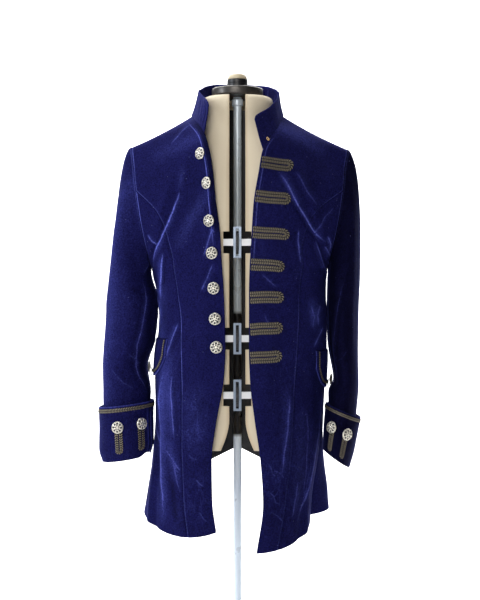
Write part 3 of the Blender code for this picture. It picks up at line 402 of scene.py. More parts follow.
def makeNapGroup():
    # velvet pile: soft patches drawn out downwards, fine grain, specks of lint, and marks where
    # the pile was crushed, which run along the lines on which a noise passes its middle value
    group, given, result = newGroup(
        "velvetNap", [("Patch Size", "NodeSocketFloat", 14.0), ("Pile Size", "NodeSocketFloat", 520.0)],
        [("Crush", "NodeSocketFloat"), ("Grain", "NodeSocketFloat"), ("Lint", "NodeSocketFloat"),
         ("Marks", "NodeSocketFloat")])
    spot = put(group, "TexCoord").outputs["Object"]
    drawn = put(group, "Mapping", {"Vector": spot})
    drawn.inputs["Scale"].default_value = (1.0, 1.0, 0.45)
    patch = put(group, "TexNoise", {"Vector": drawn.outputs[0], "Scale": given.outputs["Patch Size"]},
                Detail=5.0, Roughness=0.62, Distortion=0.6)
    pile = put(group, "TexNoise", {"Vector": spot, "Scale": given.outputs["Pile Size"]},
               Detail=2.0, Roughness=0.75)
    cells = put(group, "TexVoronoi", {"Vector": spot}, Scale=75.0, Randomness=1.0)
    small = math2(group, "LESS_THAN", cells.outputs["Distance"], 0.075)
    chosen = math2(group, "GREATER_THAN", cells.outputs["Color"], 0.62)
    bent = put(group, "TexNoise", {"Vector": drawn.outputs[0]}, Scale=42.0, Detail=3.0, Roughness=0.6,
               Distortion=0.4)
    off = math2(group, "ABSOLUTE", minus(group, bent.outputs[0], 0.5), 0.0)
    ridge = math2(group, "MAXIMUM", minus(group, 1.0, times(group, off, 15.0)), 0.0)
    group.links.new(patch.outputs[0], result.inputs["Crush"])
    group.links.new(pile.outputs[0], result.inputs["Grain"])
    group.links.new(times(group, small, chosen), result.inputs["Lint"])
    group.links.new(math2(group, "POWER", ridge, 2.0), result.inputs["Marks"])
    return group


def makeWearGroup():
    # uneven wear: broad and fine noise, for colour and for roughness
    group, given, result = newGroup(
        "unevenWear", [("Size", "NodeSocketFloat", 20.0)],
        [("Broad", "NodeSocketFloat"), ("Fine", "NodeSocketFloat")])
    spot = put(group, "TexCoord")
    broad = put(group, "TexNoise", {"Vector": spot.outputs["Object"], "Scale": given.outputs["Size"]},
                Detail=4.0)
    fine = put(group, "TexNoise", {"Vector": spot.outputs["Object"]}, Scale=700.0, Detail=4.0)
    group.links.new(broad.outputs[0], result.inputs["Broad"])
    group.links.new(fine.outputs[0], result.inputs["Fine"])
    return group


def placed(tree, group, **values):
    node = tree.nodes.new("ShaderNodeGroup")
    node.node_tree = group
    for title, value in values.items():
        node.inputs[title.replace("_", " ")].default_value = value
    return node.outputs


def newMaterial(name):
    made = bpy.data.materials.new(name)
    made.use_nodes = True
    tree = made.node_tree
    return made, tree, tree.nodes["Principled BSDF"]


def attributeOf(tree, title):
    return put(tree, "Attribute", attribute_name=title).outputs["Fac"]


def feed(tree, shader, sockets):
    # links or sets a shader's sockets
    for title, value in sockets.items():
        if hasattr(value, "links"):
            tree.links.new(value, shader.inputs[title])
        else:
            shader.inputs[title].default_value = value


def bumpInto(tree, shader, height, distance, strength):
    node = put(tree, "Bump", {"Height": height}, Distance=distance, Strength=strength)
    tree.links.new(node.outputs[0], shader.inputs["Normal"])


def lineGlow(tree, distance, gleam):
    # gleam * exp(-(8 * distance / 1.15)^2): a thin painted highlight line, distance being in 8 mm
    far = times(tree, attributeOf(tree, distance), 8 / 1.15)
    fall = math2(tree, "EXPONENT", times(tree, times(tree, far, far), -1.0), 0.0)
    return times(tree, fall, attributeOf(tree, gleam))


def velvet(name, deep, lit, dim, line):
    # lit is the colour of the painted sheen and line that of the thin painted highlights; deep and dim are
    # the velvet's own tones, and a quarter of deep is the painted shade
    made, tree, shader = newMaterial(name)
    nap = placed(tree, napGroup, Patch_Size=13.0, Pile_Size=330.0)
    base = ramp(tree, nap["Crush"], [(0.30, deep), (0.56, tuple(c * 1.2 for c in deep)), (0.80, dim)])
    # edge is a painted sheen, lighter where the cloth is seen edge-on
    edge = math2(tree, "POWER", put(tree, "LayerWeight", Blend=0.32).outputs["Facing"], 2.2)
    # soft is the painted sheen beside the creases and along the sheen bands
    soft = times(tree, attributeOf(tree, "paintedSheen"), plus(tree, nap["Crush"], 0.42))
    marks = times(tree, nap["Marks"], attributeOf(tree, "crushed"))
    # the painted highlight lines along the creases, the seams and the front edges
    paintedLines = plus(tree, lineGlow(tree, "line", "gleam"), lineGlow(tree, "seam", "seamGleam"))
    glow = plus(tree, soft, times(tree, edge, 0.20))
    glow = plus(tree, glow, times(tree, marks, 0.15))
    colour = blend(tree, math2(tree, "MINIMUM", glow, 1.0), base, lit)
    # the painted shade in the creases, the seams and under the edges
    shadow = attributeOf(tree, "paintedShade")
    colour = blend(tree, times(tree, shadow, 0.75), colour, tuple(c * 0.25 for c in deep))
    colour = blend(tree, math2(tree, "MINIMUM", paintedLines, 1.0), colour, line)
    colour = blend(tree, times(tree, nap["Lint"], 0.45), colour, (0.10, 0.11, 0.26))
    grainy = put(tree, "VectorMath", operation="SCALE")
    tree.links.new(colour, grainy.inputs[0])
    tree.links.new(plus(tree, times(tree, nap["Grain"], 2.6), -0.3), grainy.inputs["Scale"])
    feed(tree, shader, {"Base Color": grainy.outputs[0], "Roughness": 0.92, "Specular IOR Level": 0.04,
                        "Sheen Weight": 0.10, "Sheen Roughness": 0.30, "Sheen Tint": (0.16, 0.19, 0.95, 1)})
    height = plus(tree, times(tree, nap["Grain"], 0.5), times(tree, nap["Crush"], 0.9))
    bumpInto(tree, shader, height, 0.0016, 0.35)
    return made


def braidLook():
    made, tree, shader = newMaterial("gimpBraid")
    relief = attributeOf(tree, "relief")
    wear = placed(tree, wearGroup, Size=180.0)
    # the colour follows the ribs' height: painted shade, near black, in the troughs between the ribs, the
    # braid's own grey-brown between, and a painted highlight on the crests
    colour = ramp(tree, relief, [(0.12, (0.002, 0.002, 0.003)), (0.46, (0.034, 0.029, 0.023)),
                                 (0.92, (0.400, 0.330, 0.225))])
    colour = blend(tree, times(tree, wear["Broad"], 0.35), colour, (0.030, 0.028, 0.028))
    feed(tree, shader, {"Base Color": colour, "Roughness": ramp(tree, relief, [(0.0, 0.9), (1.0, 0.42)]),
                        "Metallic": ramp(tree, relief, [(0.5, 0.0), (1.0, 0.45)])})
    bumpInto(tree, shader, wear["Fine"], 0.0006, 0.5)
    return made


def silverLook():
    made, tree, shader = newMaterial("piercedSilver")
    pit = attributeOf(tree, "pit")
    wear = placed(tree, wearGroup, Size=420.0)
    bright = blend(tree, wear["Broad"], (0.92, 0.87, 0.76), (0.64, 0.60, 0.52))
    # the pierced holes are painted near black and not metallic: painted shade inside them
    feed(tree, shader, {"Base Color": blend(tree, pit, bright, (0.006, 0.005, 0.012)),
                        "Metallic": ramp(tree, pit, [(0.0, 1.0), (0.8, 0.0)]),
                        "Roughness": ramp(tree, wear["Fine"], [(0.3, 0.30), (0.7, 0.46)])})
    bumpInto(tree, shader, wear["Broad"], 0.0004, 0.4)
    return made


def plainLook(name, colour, other, rough, metallic, size=30.0, bump=0.1, distance=0.0003):
    # a finish whose colour and roughness drift a little between two values
    made, tree, shader = newMaterial(name)
    wear = placed(tree, wearGroup, Size=size)
    feed(tree, shader, {"Base Color": blend(tree, wear["Broad"], colour, other), "Metallic": metallic,
                        "Roughness": ramp(tree, wear["Broad"], [(0.3, rough[0]), (0.7, rough[1])])})
    bumpInto(tree, shader, wear["Fine"], distance, bump)
    return made


def jerseyLook():
    made, tree, shader = newMaterial("formJersey")
    wear = placed(tree, wearGroup, Size=9.0)
    spot = put(tree, "TexCoord").outputs["Object"]
    knit = put(tree, "TexWave", {"Vector": spot}, Scale=520.0, Distortion=1.4, bands_direction="Z")
    colour = blend(tree, wear["Broad"], (0.86, 0.75, 0.56), (0.76, 0.65, 0.48))
    colour = blend(tree, attributeOf(tree, "trim"), colour, (0.52, 0.36, 0.19))
    feed(tree, shader, {"Base Color": colour, "Roughness": 0.86, "Specular IOR Level": 0.25,
                        "Sheen Weight": 0.12})
    bumpInto(tree, shader, knit.outputs["Fac"], 0.0004, 0.25)
    return made


def poleLook():
    # satin steel, and black over the stretch that lies inside the form, from 816 to 1074 mm up; the ramp
    # reads half the height in metres, because its stops lie between 0 and 1
    made, tree, shader = newMaterial("poleSatin")
    spot = put(tree, "TexCoord").outputs["Object"]
    high = put(tree, "SeparateXYZ", {"Vector": spot}).outputs["Z"]
    steel, black = (0.80, 0.90, 1.0), (0.006, 0.006, 0.008)
    colour = ramp(tree, times(tree, high, 0.5),
                  [(0.408, steel), (0.409, black), (0.537, black), (0.538, steel)])
    wear = placed(tree, wearGroup, Size=30.0)
    colour = blend(tree, times(tree, wear["Broad"], 0.08), colour, black)
    feed(tree, shader, {"Base Color": colour, "Metallic": 0.18,
                        "Roughness": ramp(tree, wear["Broad"], [(0.3, 0.26), (0.7, 0.34)])})
    return made


floorFinish = dict(colour=(0.90, 0.90, 0.90), other=(0.86, 0.86, 0.87), rough=(0.7, 0.8), metallic=0.0,
                   size=3.0, bump=0.02)


def paleFloor():
    # the wall is clear from behind, so that it hides nothing in a view of the coat's back
    made = plainLook("paleFloor", **floorFinish)
    tree = made.node_tree
    behind = put(tree, "NewGeometry").outputs["Backfacing"]
    tree.links.new(minus(tree, 1.0, behind), tree.nodes["Principled BSDF"].inputs["Alpha"])
    return made


napGroup = makeNapGroup()
wearGroup = makeWearGroup()
# the left velvet is a darker copy of the right one: painted shade for the left sleeve and cuff
velvets = {
    "right": velvet("royalVelvet", (0.0062, 0.0064, 0.050), (0.078, 0.092, 0.44),
                    (0.0115, 0.0125, 0.078), (0.13, 0.155, 0.62)),
    "left": velvet("royalVelvetShaded", (0.0022, 0.0021, 0.015), (0.022, 0.024, 0.12),
                   (0.0038, 0.0039, 0.023), (0.04, 0.045, 0.20))}
braidMaterial = braidLook()
silverMaterial = silverLook()
jerseyMaterial = jerseyLook()
poleMaterial = poleLook()
capMaterial = plainLook("capMetal", (0.115, 0.105, 0.095), (0.020, 0.018, 0.018), (0.28, 0.42), 0.6, 110.0)
goldMaterial = plainLook("hookGold", (0.90, 0.62, 0.26), (0.72, 0.48, 0.20), (0.25, 0.35), 1.0)
ivoryMaterial = plainLook("ivoryPlastic", (0.66, 0.56, 0.38), (0.58, 0.48, 0.31), (0.35, 0.5), 0.0)
blackMaterial = plainLook("blackPlastic", (0.006, 0.006, 0.008), (0.016, 0.016, 0.018), (0.32, 0.5), 0.0)
innerMaterial = plainLook("blackInner", (0.004, 0.004, 0.006), (0.012, 0.012, 0.016), (0.4, 0.7), 0.0,
                          16.0, 0.6, 0.002)
whiteMaterial = plainLook("whitePlastic", (0.96, 0.96, 0.97), (0.90, 0.91, 0.93), (0.25, 0.4), 0.0)
frameMaterial = plainLook("frameMetal", (0.36, 0.43, 0.54), (0.22, 0.27, 0.35), (0.30, 0.45), 0.5, 90.0)
baseMaterial = plainLook("baseIron", (0.010, 0.010, 0.011), (0.022, 0.022, 0.024), (0.35, 0.6), 0.1, 24.0,
                         0.3, 0.0006)
print("materials: velvet, braid, silver, jersey and the stand's finishes")


# the coat's body: each row is one curve from the front edge or the centre back to the side

armpitRow, collarRow, shoulderRow, princessTip = 8, 12, 14, 11
frontColumns = "edgeX edgeY edgeZ edgeTurn sideX sideY sideZ sideTurn edgePull sidePull"
fronts = {
    "right": tableOf(frontColumns, [
        (43, -113, 634, 2, 196, 8, 656, 88, 0.44, 0.30),
        (51, -117, 700, 2, 188, 8, 706, 88, 0.45, 0.31),
        (52, -119, 780, 2, 177, 8, 782, 90, 0.45, 0.32),
        (42, -118, 860, 2, 172, 8, 860, 90, 0.45, 0.33),
        (28, -115, 940, 2, 173, 8, 940, 90, 0.46, 0.33),
        (25, -112, 1000, 2, 170, 8, 1000, 90, 0.46, 0.33),
        (26, -111, 1060, 3, 163.5, 8, 1060, 90, 0.46, 0.33),
        (28, -113, 1116, 6, 168.5, 7, 1114, 90, 0.46, 0.34),
        (31.5, -117, 1170, 12, 179, 4, 1163, 90, 0.46, 0.36),
        (36, -122, 1230, 32, 188, -38, 1204, 66, 0.38, 0.32),
        (45, -125, 1298, 56, 199, -50, 1258, 50, 0.32, 0.30),
        (52, -123, 1368, 66, 210, -40, 1326, 34, 0.28, 0.30),
        (67, -103, 1434, 64, 217, -20, 1382, 20, 0.26, 0.30),
        (86, -52, 1467, 36, 221, -6, 1410, 10, 0.28, 0.30),
        (97, 0, 1485, 0, 222, 5, 1421, 0, 0.20, 0.46)]),
    "left": tableOf(frontColumns, [
        (39, -114, 592, 0, 150, -14, 652, 96, 0.44, 0.32),
        (52, -118, 690, 0, 154, -16, 700, 96, 0.45, 0.32),
        (47, -119, 775, 0, 168, -6, 780, 94, 0.45, 0.32),
        (35.5, -117, 858, 0, 178, 6, 860, 90, 0.45, 0.33),
        (26, -114, 940, 0, 184, 8, 940, 90, 0.46, 0.33),
        (24, -112, 1000, 0, 187, 8, 1000, 90, 0.46, 0.33),
        (24, -111, 1060, 0, 187, 8, 1060, 90, 0.46, 0.33),
        (24, -113, 1116, 0, 185, 7, 1114, 90, 0.46, 0.34),
        (25.5, -117, 1170, 2, 188, 4, 1163, 90, 0.46, 0.36),
        (29, -120, 1228, 4, 196, -38, 1204, 66, 0.42, 0.32),
        (33, -119, 1292, 8, 207, -50, 1258, 50, 0.38, 0.30),
        (43, -110, 1355, 14, 218, -40, 1326, 34, 0.34, 0.30),
        (52, -94, 1404, 18, 224, -20, 1380, 20, 0.32, 0.30),
        (82, -52, 1452, 18, 230, -6, 1409, 10, 0.30, 0.30),
        (97, 0, 1485, 0, 229, 5, 1417, 0, 0.20, 0.46)]),
}
backs = tableOf("middleX middleY middleZ armholeY sideTurn middlePull sidePull", [
    (68, 147, 672, 0, 88, 0.46, 0.32), (66, 144, 712, 0, 88, 0.46, 0.32),
    (61, 137, 785, 0, 90, 0.46, 0.32), (44, 129, 860, 0, 90, 0.46, 0.32),
    (17, 120, 940, 0, 90, 0.46, 0.32), (3, 108, 1000, 0, 90, 0.46, 0.32),
    (0, 100, 1060, 0, 90, 0.46, 0.32), (0, 104, 1120, 0, 90, 0.46, 0.32),
    (0, 113, 1180, 0, 90, 0.46, 0.32), (0, 121, 1245, 46, 62, 0.46, 0.32),
    (0, 124, 1315, 60, 46, 0.46, 0.32), (0, 118, 1390, 50, 32, 0.46, 0.32),
    (0, 78, 1500, 28, 18, 0.44, 0.34), (58, 60, 1497, 14, 8, 0.34, 0.40),
    (97, 0, 1485, 5, 0, 0.20, 0.46)])
hemDip = {"right": 40.0, "left": 14.0}
sideFold = dict(
    right=[0.0, 0.0, 0.0, 0.10, 0.11, 0.05, 0.02, 0.05, 0.0, 0.0, 0.0, 0.0, 0.0, 0.0, 0.0],
    left=[1.0, 0.88, 0.48, 0.22, 0.13, 0.06, 0.08, 0.10, 0.0, 0.0, 0.0, 0.0, 0.0, 0.0, 0.0],
    turn=64.0, pull=0.36)
princess = {
    "right": [0.24, 0.26, 0.29, 0.34, 0.38, 0.41, 0.43, 0.45, 0.455, 0.595, 0.715, 1.0],
    "left": [0.22, 0.26, 0.31, 0.35, 0.38, 0.40, 0.42, 0.43, 0.45, 0.50, 0.63, 1.0]}

# large folds: rows and shares of the row where each starts and ends, half width, height
folds = {
    ("right", "front"): [
        (-1.0, 0.72, 4.4, 0.76, 11.0, 4.5), (-1.0, 0.60, 3.6, 0.68, 10.0, -3.5),
        (1.0, 0.48, 4.4, 0.62, 12.0, 3.0), (8.2, 0.97, 11.4, 0.50, 12.0, 4.0),
        (7.6, 0.90, 10.2, 0.74, 11.0, -3.5)],
    ("left", "front"): [
        (-1.0, 0.66, 4.6, 0.60, 12.0, 4.0), (-1.0, 0.52, 3.0, 0.52, 11.0, -3.0),
        (8.6, 0.90, 12.0, 0.30, 13.0, 4.0), (8.0, 0.80, 10.8, 0.52, 12.0, -3.0)],
    ("right", "back"): [(-1.0, 0.42, 4.0, 0.46, 15.0, 5.0), (-1.0, 0.70, 3.4, 0.68, 14.0, -4.0)],
    ("left", "back"): [(-1.0, 0.40, 4.2, 0.44, 15.0, 5.0), (-1.0, 0.68, 3.2, 0.68, 14.0, -4.0)],
}

# creases: the line as x and z from its upper end, then half width on its right and left, height, and how
# bright the painted highlight along it is
creases = {
    ("right", "front"): [
        ([(-117, 1325), (-121, 1302), (-131, 1277), (-144, 1248), (-156, 1222), (-168, 1201),
          (-174, 1183), (-177, 1169)], 5, 3, 2.4, 0.95),
        ([(-151, 1199), (-154, 1168), (-157, 1133), (-157, 1096)], 3, 6.5, 2.0, 0.9),
        ([(-166, 1112), (-159, 1092), (-158, 1062), (-161, 1034)], 4, 6, 1.6, 0.7),
        ([(-183, 1234), (-172, 1219), (-163, 1211)], 4, 3, 0.9, 0.5),
        ([(-46, 1247), (-56, 1222), (-69, 1185)], 6, 3.5, 1.2, 0.45),
        ([(-48, 1175), (-59, 1147), (-74, 1115)], 6, 3.5, 1.0, 0.35),
        ([(-98, 1462), (-115, 1445), (-137, 1419)], 6, 4, 1.0, 0.25),
        ([(-176, 1160), (-172, 1136), (-164, 1112)], 4, 5, 1.2, 0.6),
        ([(-118, 1056), (-134, 1017), (-146, 978)], 4, 6, 1.3, 0.5),
        ([(-147, 962), (-157, 922), (-160, 892), (-156, 825), (-154, 767), (-151, 704), (-149, 655)],
         7, 4, 2.4, 0.7),
        ([(-132, 950), (-134, 920), (-132, 881), (-127, 815)], 4, 6, 1.8, 0.5),
        ([(-168, 862), (-166, 836), (-158, 800)], 4, 3, 0.9, 0.35),
        ([(-145, 796), (-128, 773), (-112, 752)], 5, 4, 1.0, 0.30),
        ([(-131, 778), (-122, 742), (-114, 708)], 5, 3, 1.0, 0.22),
        ([(-83, 741), (-76, 732), (-67, 725)], 3, 4, 0.7, 0.18),
        ([(-78, 676), (-68, 662), (-60, 655)], 3, 4, 0.6, 0.12),
        ([(-98, 790), (-90, 782), (-76, 780)], 3, 3, 0.5, 0.12),
        ([(-60, 905), (-78, 872), (-97, 842)], 9, 6, -0.9, 0.0),
        ([(-184, 765), (-188, 708), (-192, 662)], 6, 5, -2.0, 0.0),
        ([(-136, 745), (-130, 694), (-122, 640)], 8, 6, -1.8, 0.0)],
    ("left", "front"): [
        ([(85, 1358), (98, 1337), (108, 1317), (120, 1294), (132, 1274), (144, 1254), (156, 1238),
          (168, 1227), (183, 1214)], 5, 3.5, 2.6, 0.8),
        ([(117, 1362), (126, 1345), (140, 1317), (165, 1286)], 8, 5, 1.4, 0.2),
        ([(124, 1247), (121, 1219), (124, 1193), (128, 1171)], 4, 3, 1.1, 0.4),
        ([(157, 1224), (166, 1199), (175, 1177), (185, 1153)], 3, 5, 1.6, 0.45),
        ([(183, 1232), (190, 1216), (188, 1198)], 4, 4, 1.2, 0.6),
        ([(176, 1210), (184, 1200), (192, 1190)], 3, 4, 0.9, 0.5),
        ([(198, 1290), (177, 1270), (153, 1226)], 6, 5, 0.9, 0.18),
        ([(48, 1153), (64, 1138), (80, 1124)], 5, 4, 0.8, 0.2),
        ([(170, 1092), (163, 1068), (166, 1046)], 5, 4, 1.2, 0.4),
        ([(148, 1090), (156, 1066), (153, 1040)], 4, 4, 0.9, 0.3),
        ([(178, 1046), (164, 1022), (155, 1002)], 4, 4, 1.2, 0.45),
        ([(52, 1074), (64, 1050), (66, 1026)], 6, 5, 0.6, 0.15),
        ([(105, 915), (100, 828), (94, 795), (88, 742)], 5, 3, 1.6, 0.35),
        ([(90, 920), (88, 860), (80, 808)], 7, 6, -1.0, 0.0),
        ([(122, 735), (117, 700), (109, 658)], 5, 3, 1.2, 0.22),
        ([(176, 936), (171, 880), (162, 802), (148, 744), (135, 692), (117, 640)], 4, 5, 2.0, 0.34),
        ([(140, 884), (143, 820), (139, 750), (132, 700)], 8, 6, 1.0, 0.14),
        ([(60, 776), (68, 764), (70, 752), (80, 744)], 3, 4, 0.6, 0.13),
        ([(72, 760), (84, 754), (94, 742)], 3, 3, 0.6, 0.12),
        ([(62, 716), (72, 708), (76, 694), (88, 690)], 3, 4, 0.7, 0.12),
        ([(66, 676), (80, 668), (92, 652)], 4, 3, 0.7, 0.12)],
    ("right", "back"): [
        ([(-34, 1452), (-76, 1394), (-94, 1334)], 10, 8, 1.0, 0.10),
        ([(-168, 1238), (-122, 1202), (-72, 1188)], 8, 6, 1.5, 0.26),
        ([(-152, 1122), (-104, 1094), (-60, 1088)], 6, 5, 1.2, 0.20),
        ([(-64, 1036), (-84, 900), (-98, 750)], 10, 6, 1.8, 0.26),
        ([(-120, 980), (-134, 850), (-146, 690)], 9, 6, -1.8, 0.0),
        ([(-30, 1130), (-26, 1050), (-40, 960)], 6, 5, 1.1, 0.15)],
    ("left", "back"): [
        ([(118, 1330), (138, 1280), (144, 1222)], 9, 7, 1.2, 0.15),
        ([(152, 1200), (98, 1152), (64, 1122)], 8, 6, 1.5, 0.26),
        ([(150, 1084), (112, 1076), (74, 1082)], 6, 5, 1.1, 0.18),
        ([(50, 1022), (74, 880), (100, 730)], 10, 6, 1.9, 0.24),
        ([(116, 990), (138, 860), (150, 700)], 9, 6, -1.7, 0.0),
        ([(30, 1070), (26, 1010), (38, 930)], 6, 5, 1.0, 0.16),
        ([(150, 880), (140, 800), (128, 720)], 8, 5, 1.2, 0.18)],
}
# painted sheen with no relief: the line, half width, and how bright (below 0, how dark the painted shade
# is)
sheens = {
    ("right", "front"): [
        ([(-62, 1314), (-94, 1262), (-117, 1216)], 12, 0.16), ([(-112, 1368), (-116, 1330)], 6, 0.14),
        ([(-160, 1120), (-164, 1060), (-160, 1010)], 12, 0.30),
        ([(-154, 1000), (-150, 900), (-152, 800)], 17, 0.26),
        ([(-140, 806), (-124, 740)], 9, 0.18), ([(-88, 905), (-86, 810)], 22, 0.12),
        ([(-152, 760), (-152, 650)], 8, 0.16), ([(-50, 1110), (-50, 960)], 14, -0.16),
        ([(-120, 1230), (-96, 1160)], 16, -0.14), ([(-112, 700), (-100, 620)], 14, -0.32),
        ([(-60, 1440), (-110, 1420), (-160, 1400)], 16, 0.14), ([(-184, 740), (-190, 650)], 10, -0.30),
        ([(-72, 1380), (-88, 1250)], 42, -0.30), ([(-80, 980), (-66, 640)], 40, -0.16)],
    ("left", "front"): [
        ([(92, 1352), (120, 1300)], 9, 0.16), ([(154, 1092), (160, 1050)], 12, 0.22),
        ([(60, 1468), (110, 1446), (170, 1412)], 14, 0.20), ([(100, 920), (96, 760)], 9, 0.10),
        ([(130, 870), (118, 690)], 12, 0.10), ([(70, 1000), (64, 860)], 20, -0.22),
        ([(186, 1160), (176, 1100)], 10, -0.5), ([(60, 690), (80, 620)], 22, -0.25),
        ([(120, 1150), (130, 1040)], 14, -0.15), ([(160, 960), (150, 860)], 10, -0.25),
        ([(112, 900), (118, 760), (106, 620)], 56, -0.45)],
    ("right", "back"): [([(-90, 1300), (-80, 1180)], 24, 0.12), ([(-110, 900), (-120, 720)], 20, 0.16)],
    ("left", "back"): [([(96, 1280), (84, 1170)], 24, 0.12), ([(112, 900), (126, 730)], 20, 0.16)],
}
# where the pile is crushed: x, z, reach across, reach down, strength
crushedAt = {
    ("right", "front"): [(-86, 852, 26, 62, 1.0), (-150, 905, 30, 90, 0.55), (-80, 700, 34, 60, 0.6),
                         (-110, 1010, 40, 50, 0.3)],
    ("left", "front"): [(84, 720, 34, 80, 0.75), (132, 770, 40, 100, 0.55), (110, 950, 60, 70, 0.35)],
    ("right", "back"): [(-80, 800, 70, 120, 0.5)], ("left", "back"): [(80, 820, 70, 120, 0.5)],
}
rolledEdge = dict(width=15.0, depth=9.0, rows=(8.4, 9.6, 12.2, 13.4))
seamGroove = dict(width=2.4, depth=1.0, line=1.7)


def nearLine(line, x, z):
    # distance to a line of points, how far along it, its length, and which side the point is on
    line = np.array(line, float)
    steps = np.diff(line, axis=0)
    sizes = np.linalg.norm(steps, axis=1)
    starts = np.concatenate([[0], np.cumsum(sizes)])
    best = np.full(np.shape(x), 1e9)
    walked, side = np.zeros(np.shape(x)), np.ones(np.shape(x))
    for k, (step, size) in enumerate(zip(steps, sizes)):
        dx, dz = x - line[k, 0], z - line[k, 1]
        t = np.clip((dx * step[0] + dz * step[1]) / size**2, 0, 1)
        away = np.hypot(dx - t * step[0], dz - t * step[1])
        closer = away < best
        best = np.where(closer, away, best)
        walked = np.where(closer, starts[k] + t * size, walked)
        side = np.where(closer, np.sign(step[0] * dz - step[1] * dx), side)
    return best, walked, starts[-1], side


def creaseField(lines, x, z):
    # each line is a ridge with a half width of its own on each side; it fades at both ends, is uneven
    # between them and has a shallow trough beside it. Returned with the height: the painted sheen on the
    # ridge's wider side, the painted shade on its other side, the signed distance to the nearest line in 8
    # mm, and the brightness of the painted highlight along that line
    x, z = x + 1.3 * waves(x, z, 71, 46.0), z + 1.3 * waves(x, z, 72, 46.0)
    height, paintedSheen, paintedShade, gleam = (np.zeros(np.shape(x)) for _ in range(4))
    nearest, line = np.full(np.shape(x), 1e9), np.ones(np.shape(x))
    for number, (points, right, left, lift, shine) in enumerate(lines):
        away, walked, length, side = nearLine(points, x, z)
        fade = smoothStep(0, 0.20, walked / length) * smoothStep(0, 0.24, 1 - walked / length)
        uneven = 0.78 + 0.22 * np.sin(walked / 6.1 + 2.3 * number) * np.sin(walked / 14.7 + number)
        half = np.where(side > 0, right, left)
        wider = half >= max(right, left)
        ridge, beside = np.exp(-((away / half) ** 2)) * fade, np.exp(-((away / half - 2) ** 2)) * fade
        height = height + lift * (ridge - 0.25 * beside)
        glow = np.where(wider, 0.34, 0.12) * np.exp(-((away / (1.25 * half)) ** 2))
        paintedSheen = np.maximum(paintedSheen, shine * uneven * fade * glow)
        shade = np.where(wider, 0.2, 0.5) * beside if lift > 0 else 0.8 * ridge
        paintedShade = np.maximum(paintedShade, shade * min(abs(lift) / 2, 1))
        closer = (away < nearest) & (shine > 0)
        nearest = np.where(closer, away, nearest)
        line = np.where(closer, np.clip(away / 8, 0, 1) * side, line)
        gleam = np.where(closer, shine * uneven * fade, gleam)
    return height, paintedSheen, paintedShade, line, gleam * smoothStep(6.5, 4.5, nearest)


def sheenField(side, panel, x, z):
    # bright is painted sheen and dark painted shade, in soft bands along the listed lines; crushed holds
    # the marks of crushed pile
    bright, dark = np.zeros(np.shape(x)), np.zeros(np.shape(x))
    for points, half, amount in sheens[side, panel]:
        away, walked, length, _ = nearLine(points, x, z)
        share = walked / length
        strip = abs(amount) * np.exp(-((away / half) ** 2)) * (0.55 + 0.45 * np.sin(np.pi * share))
        bright, dark = (bright + strip, dark) if amount > 0 else (bright, dark + strip)
    crushed = np.zeros(np.shape(x))
    for middleX, middleZ, wide, tall, amount in crushedAt[side, panel]:
        spot = ((x - middleX) / wide) ** 2 + ((z - middleZ) / tall) ** 2
        crushed = np.maximum(crushed, amount * np.exp(-spot))
    return bright, dark, crushed


def heading(out, degrees):
    turn = np.radians(degrees)
    return np.stack([out * np.cos(turn), np.sin(turn), np.zeros_like(turn)], axis=-1)


def sideSeam(side, row, panel):
    table = fronts[side]
    split = armpitRow + 1
    high = table["sideY"][armpitRow:].copy()
    if panel == "back":
        high[1:] = backs["armholeY"][split:]
    below = smoothCurve(np.arange(split), table["sideY"][:split], row)
    above = smoothCurve(np.arange(armpitRow, shoulderRow + 1), high, row)
    y = np.where(row <= armpitRow, below, above)
    return np.stack([sideSign[side] * along(table, "sideX", row), y, along(table, "sideZ", row)], -1)


def basePoint(side, panel, row, across):
    # the cloth's middle surface without folds: a cubic curve across each row
    row, across = np.broadcast_arrays(np.asarray(row, float), np.asarray(across, float))
    out, end = sideSign[side], sideSeam(side, row, panel)
    if panel == "front":
        table, names = fronts[side], ("edgeX", "edgeY", "edgeZ", "edgePull")
        leaveTurn, arriveTurn = along(table, "edgeTurn", row), along(table, "sideTurn", row)
    else:
        table, names = backs, ("middleX", "middleY", "middleZ", "middlePull")
        leaveTurn, arriveTurn = np.zeros_like(row), -along(table, "sideTurn", row)
    x, y, z, leavePull = (along(table, name, row) for name in names)
    arrivePull = along(table, "sidePull", row)
    if panel == "back":
        flare = along(sideFold, side, row)
        arriveTurn = arriveTurn - sideFold["turn"] * flare
        arrivePull = arrivePull + sideFold["pull"] * flare
    start = np.stack([out * x, y, z], axis=-1)
    chord = lengthOf(end - start)
    leave = start + heading(out, leaveTurn) * chord * leavePull[..., None]
    arrive = end - heading(out, arriveTurn) * chord * arrivePull[..., None]
    drop = end[..., 2] - start[..., 2]
    leave[..., 2] = start[..., 2] + 0.28 * drop
    arrive[..., 2] = start[..., 2] + 0.57 * drop
    if panel == "front":
        leave[..., 2] -= hemDip[side] * np.clip(1 - row, 0, 1)
    return cubic(start, leave, arrive, end, across), chord[..., 0]


def normalOf(pointAt, side, panel, row, across):
    # the outward direction, from the surface's slopes in its two parameters
    step = 0.006
    row, across = np.broadcast_arrays(np.asarray(row, float), np.asarray(across, float))
    low, high = np.clip(row - step, 0, shoulderRow), np.clip(row + step, 0, shoulderRow)
    near, far = np.clip(across - step, 0, 1), np.clip(across + step, 0, 1)
    up = pointAt(side, panel, high, across) - pointAt(side, panel, low, across)
    over = pointAt(side, panel, row, far) - pointAt(side, panel, row, near)
    return unit(np.cross(over, up)) * sideSign[side] * (1.0 if panel == "front" else -1.0)


def plainPoint(side, panel, row, across):
    return basePoint(side, panel, row, across)[0]


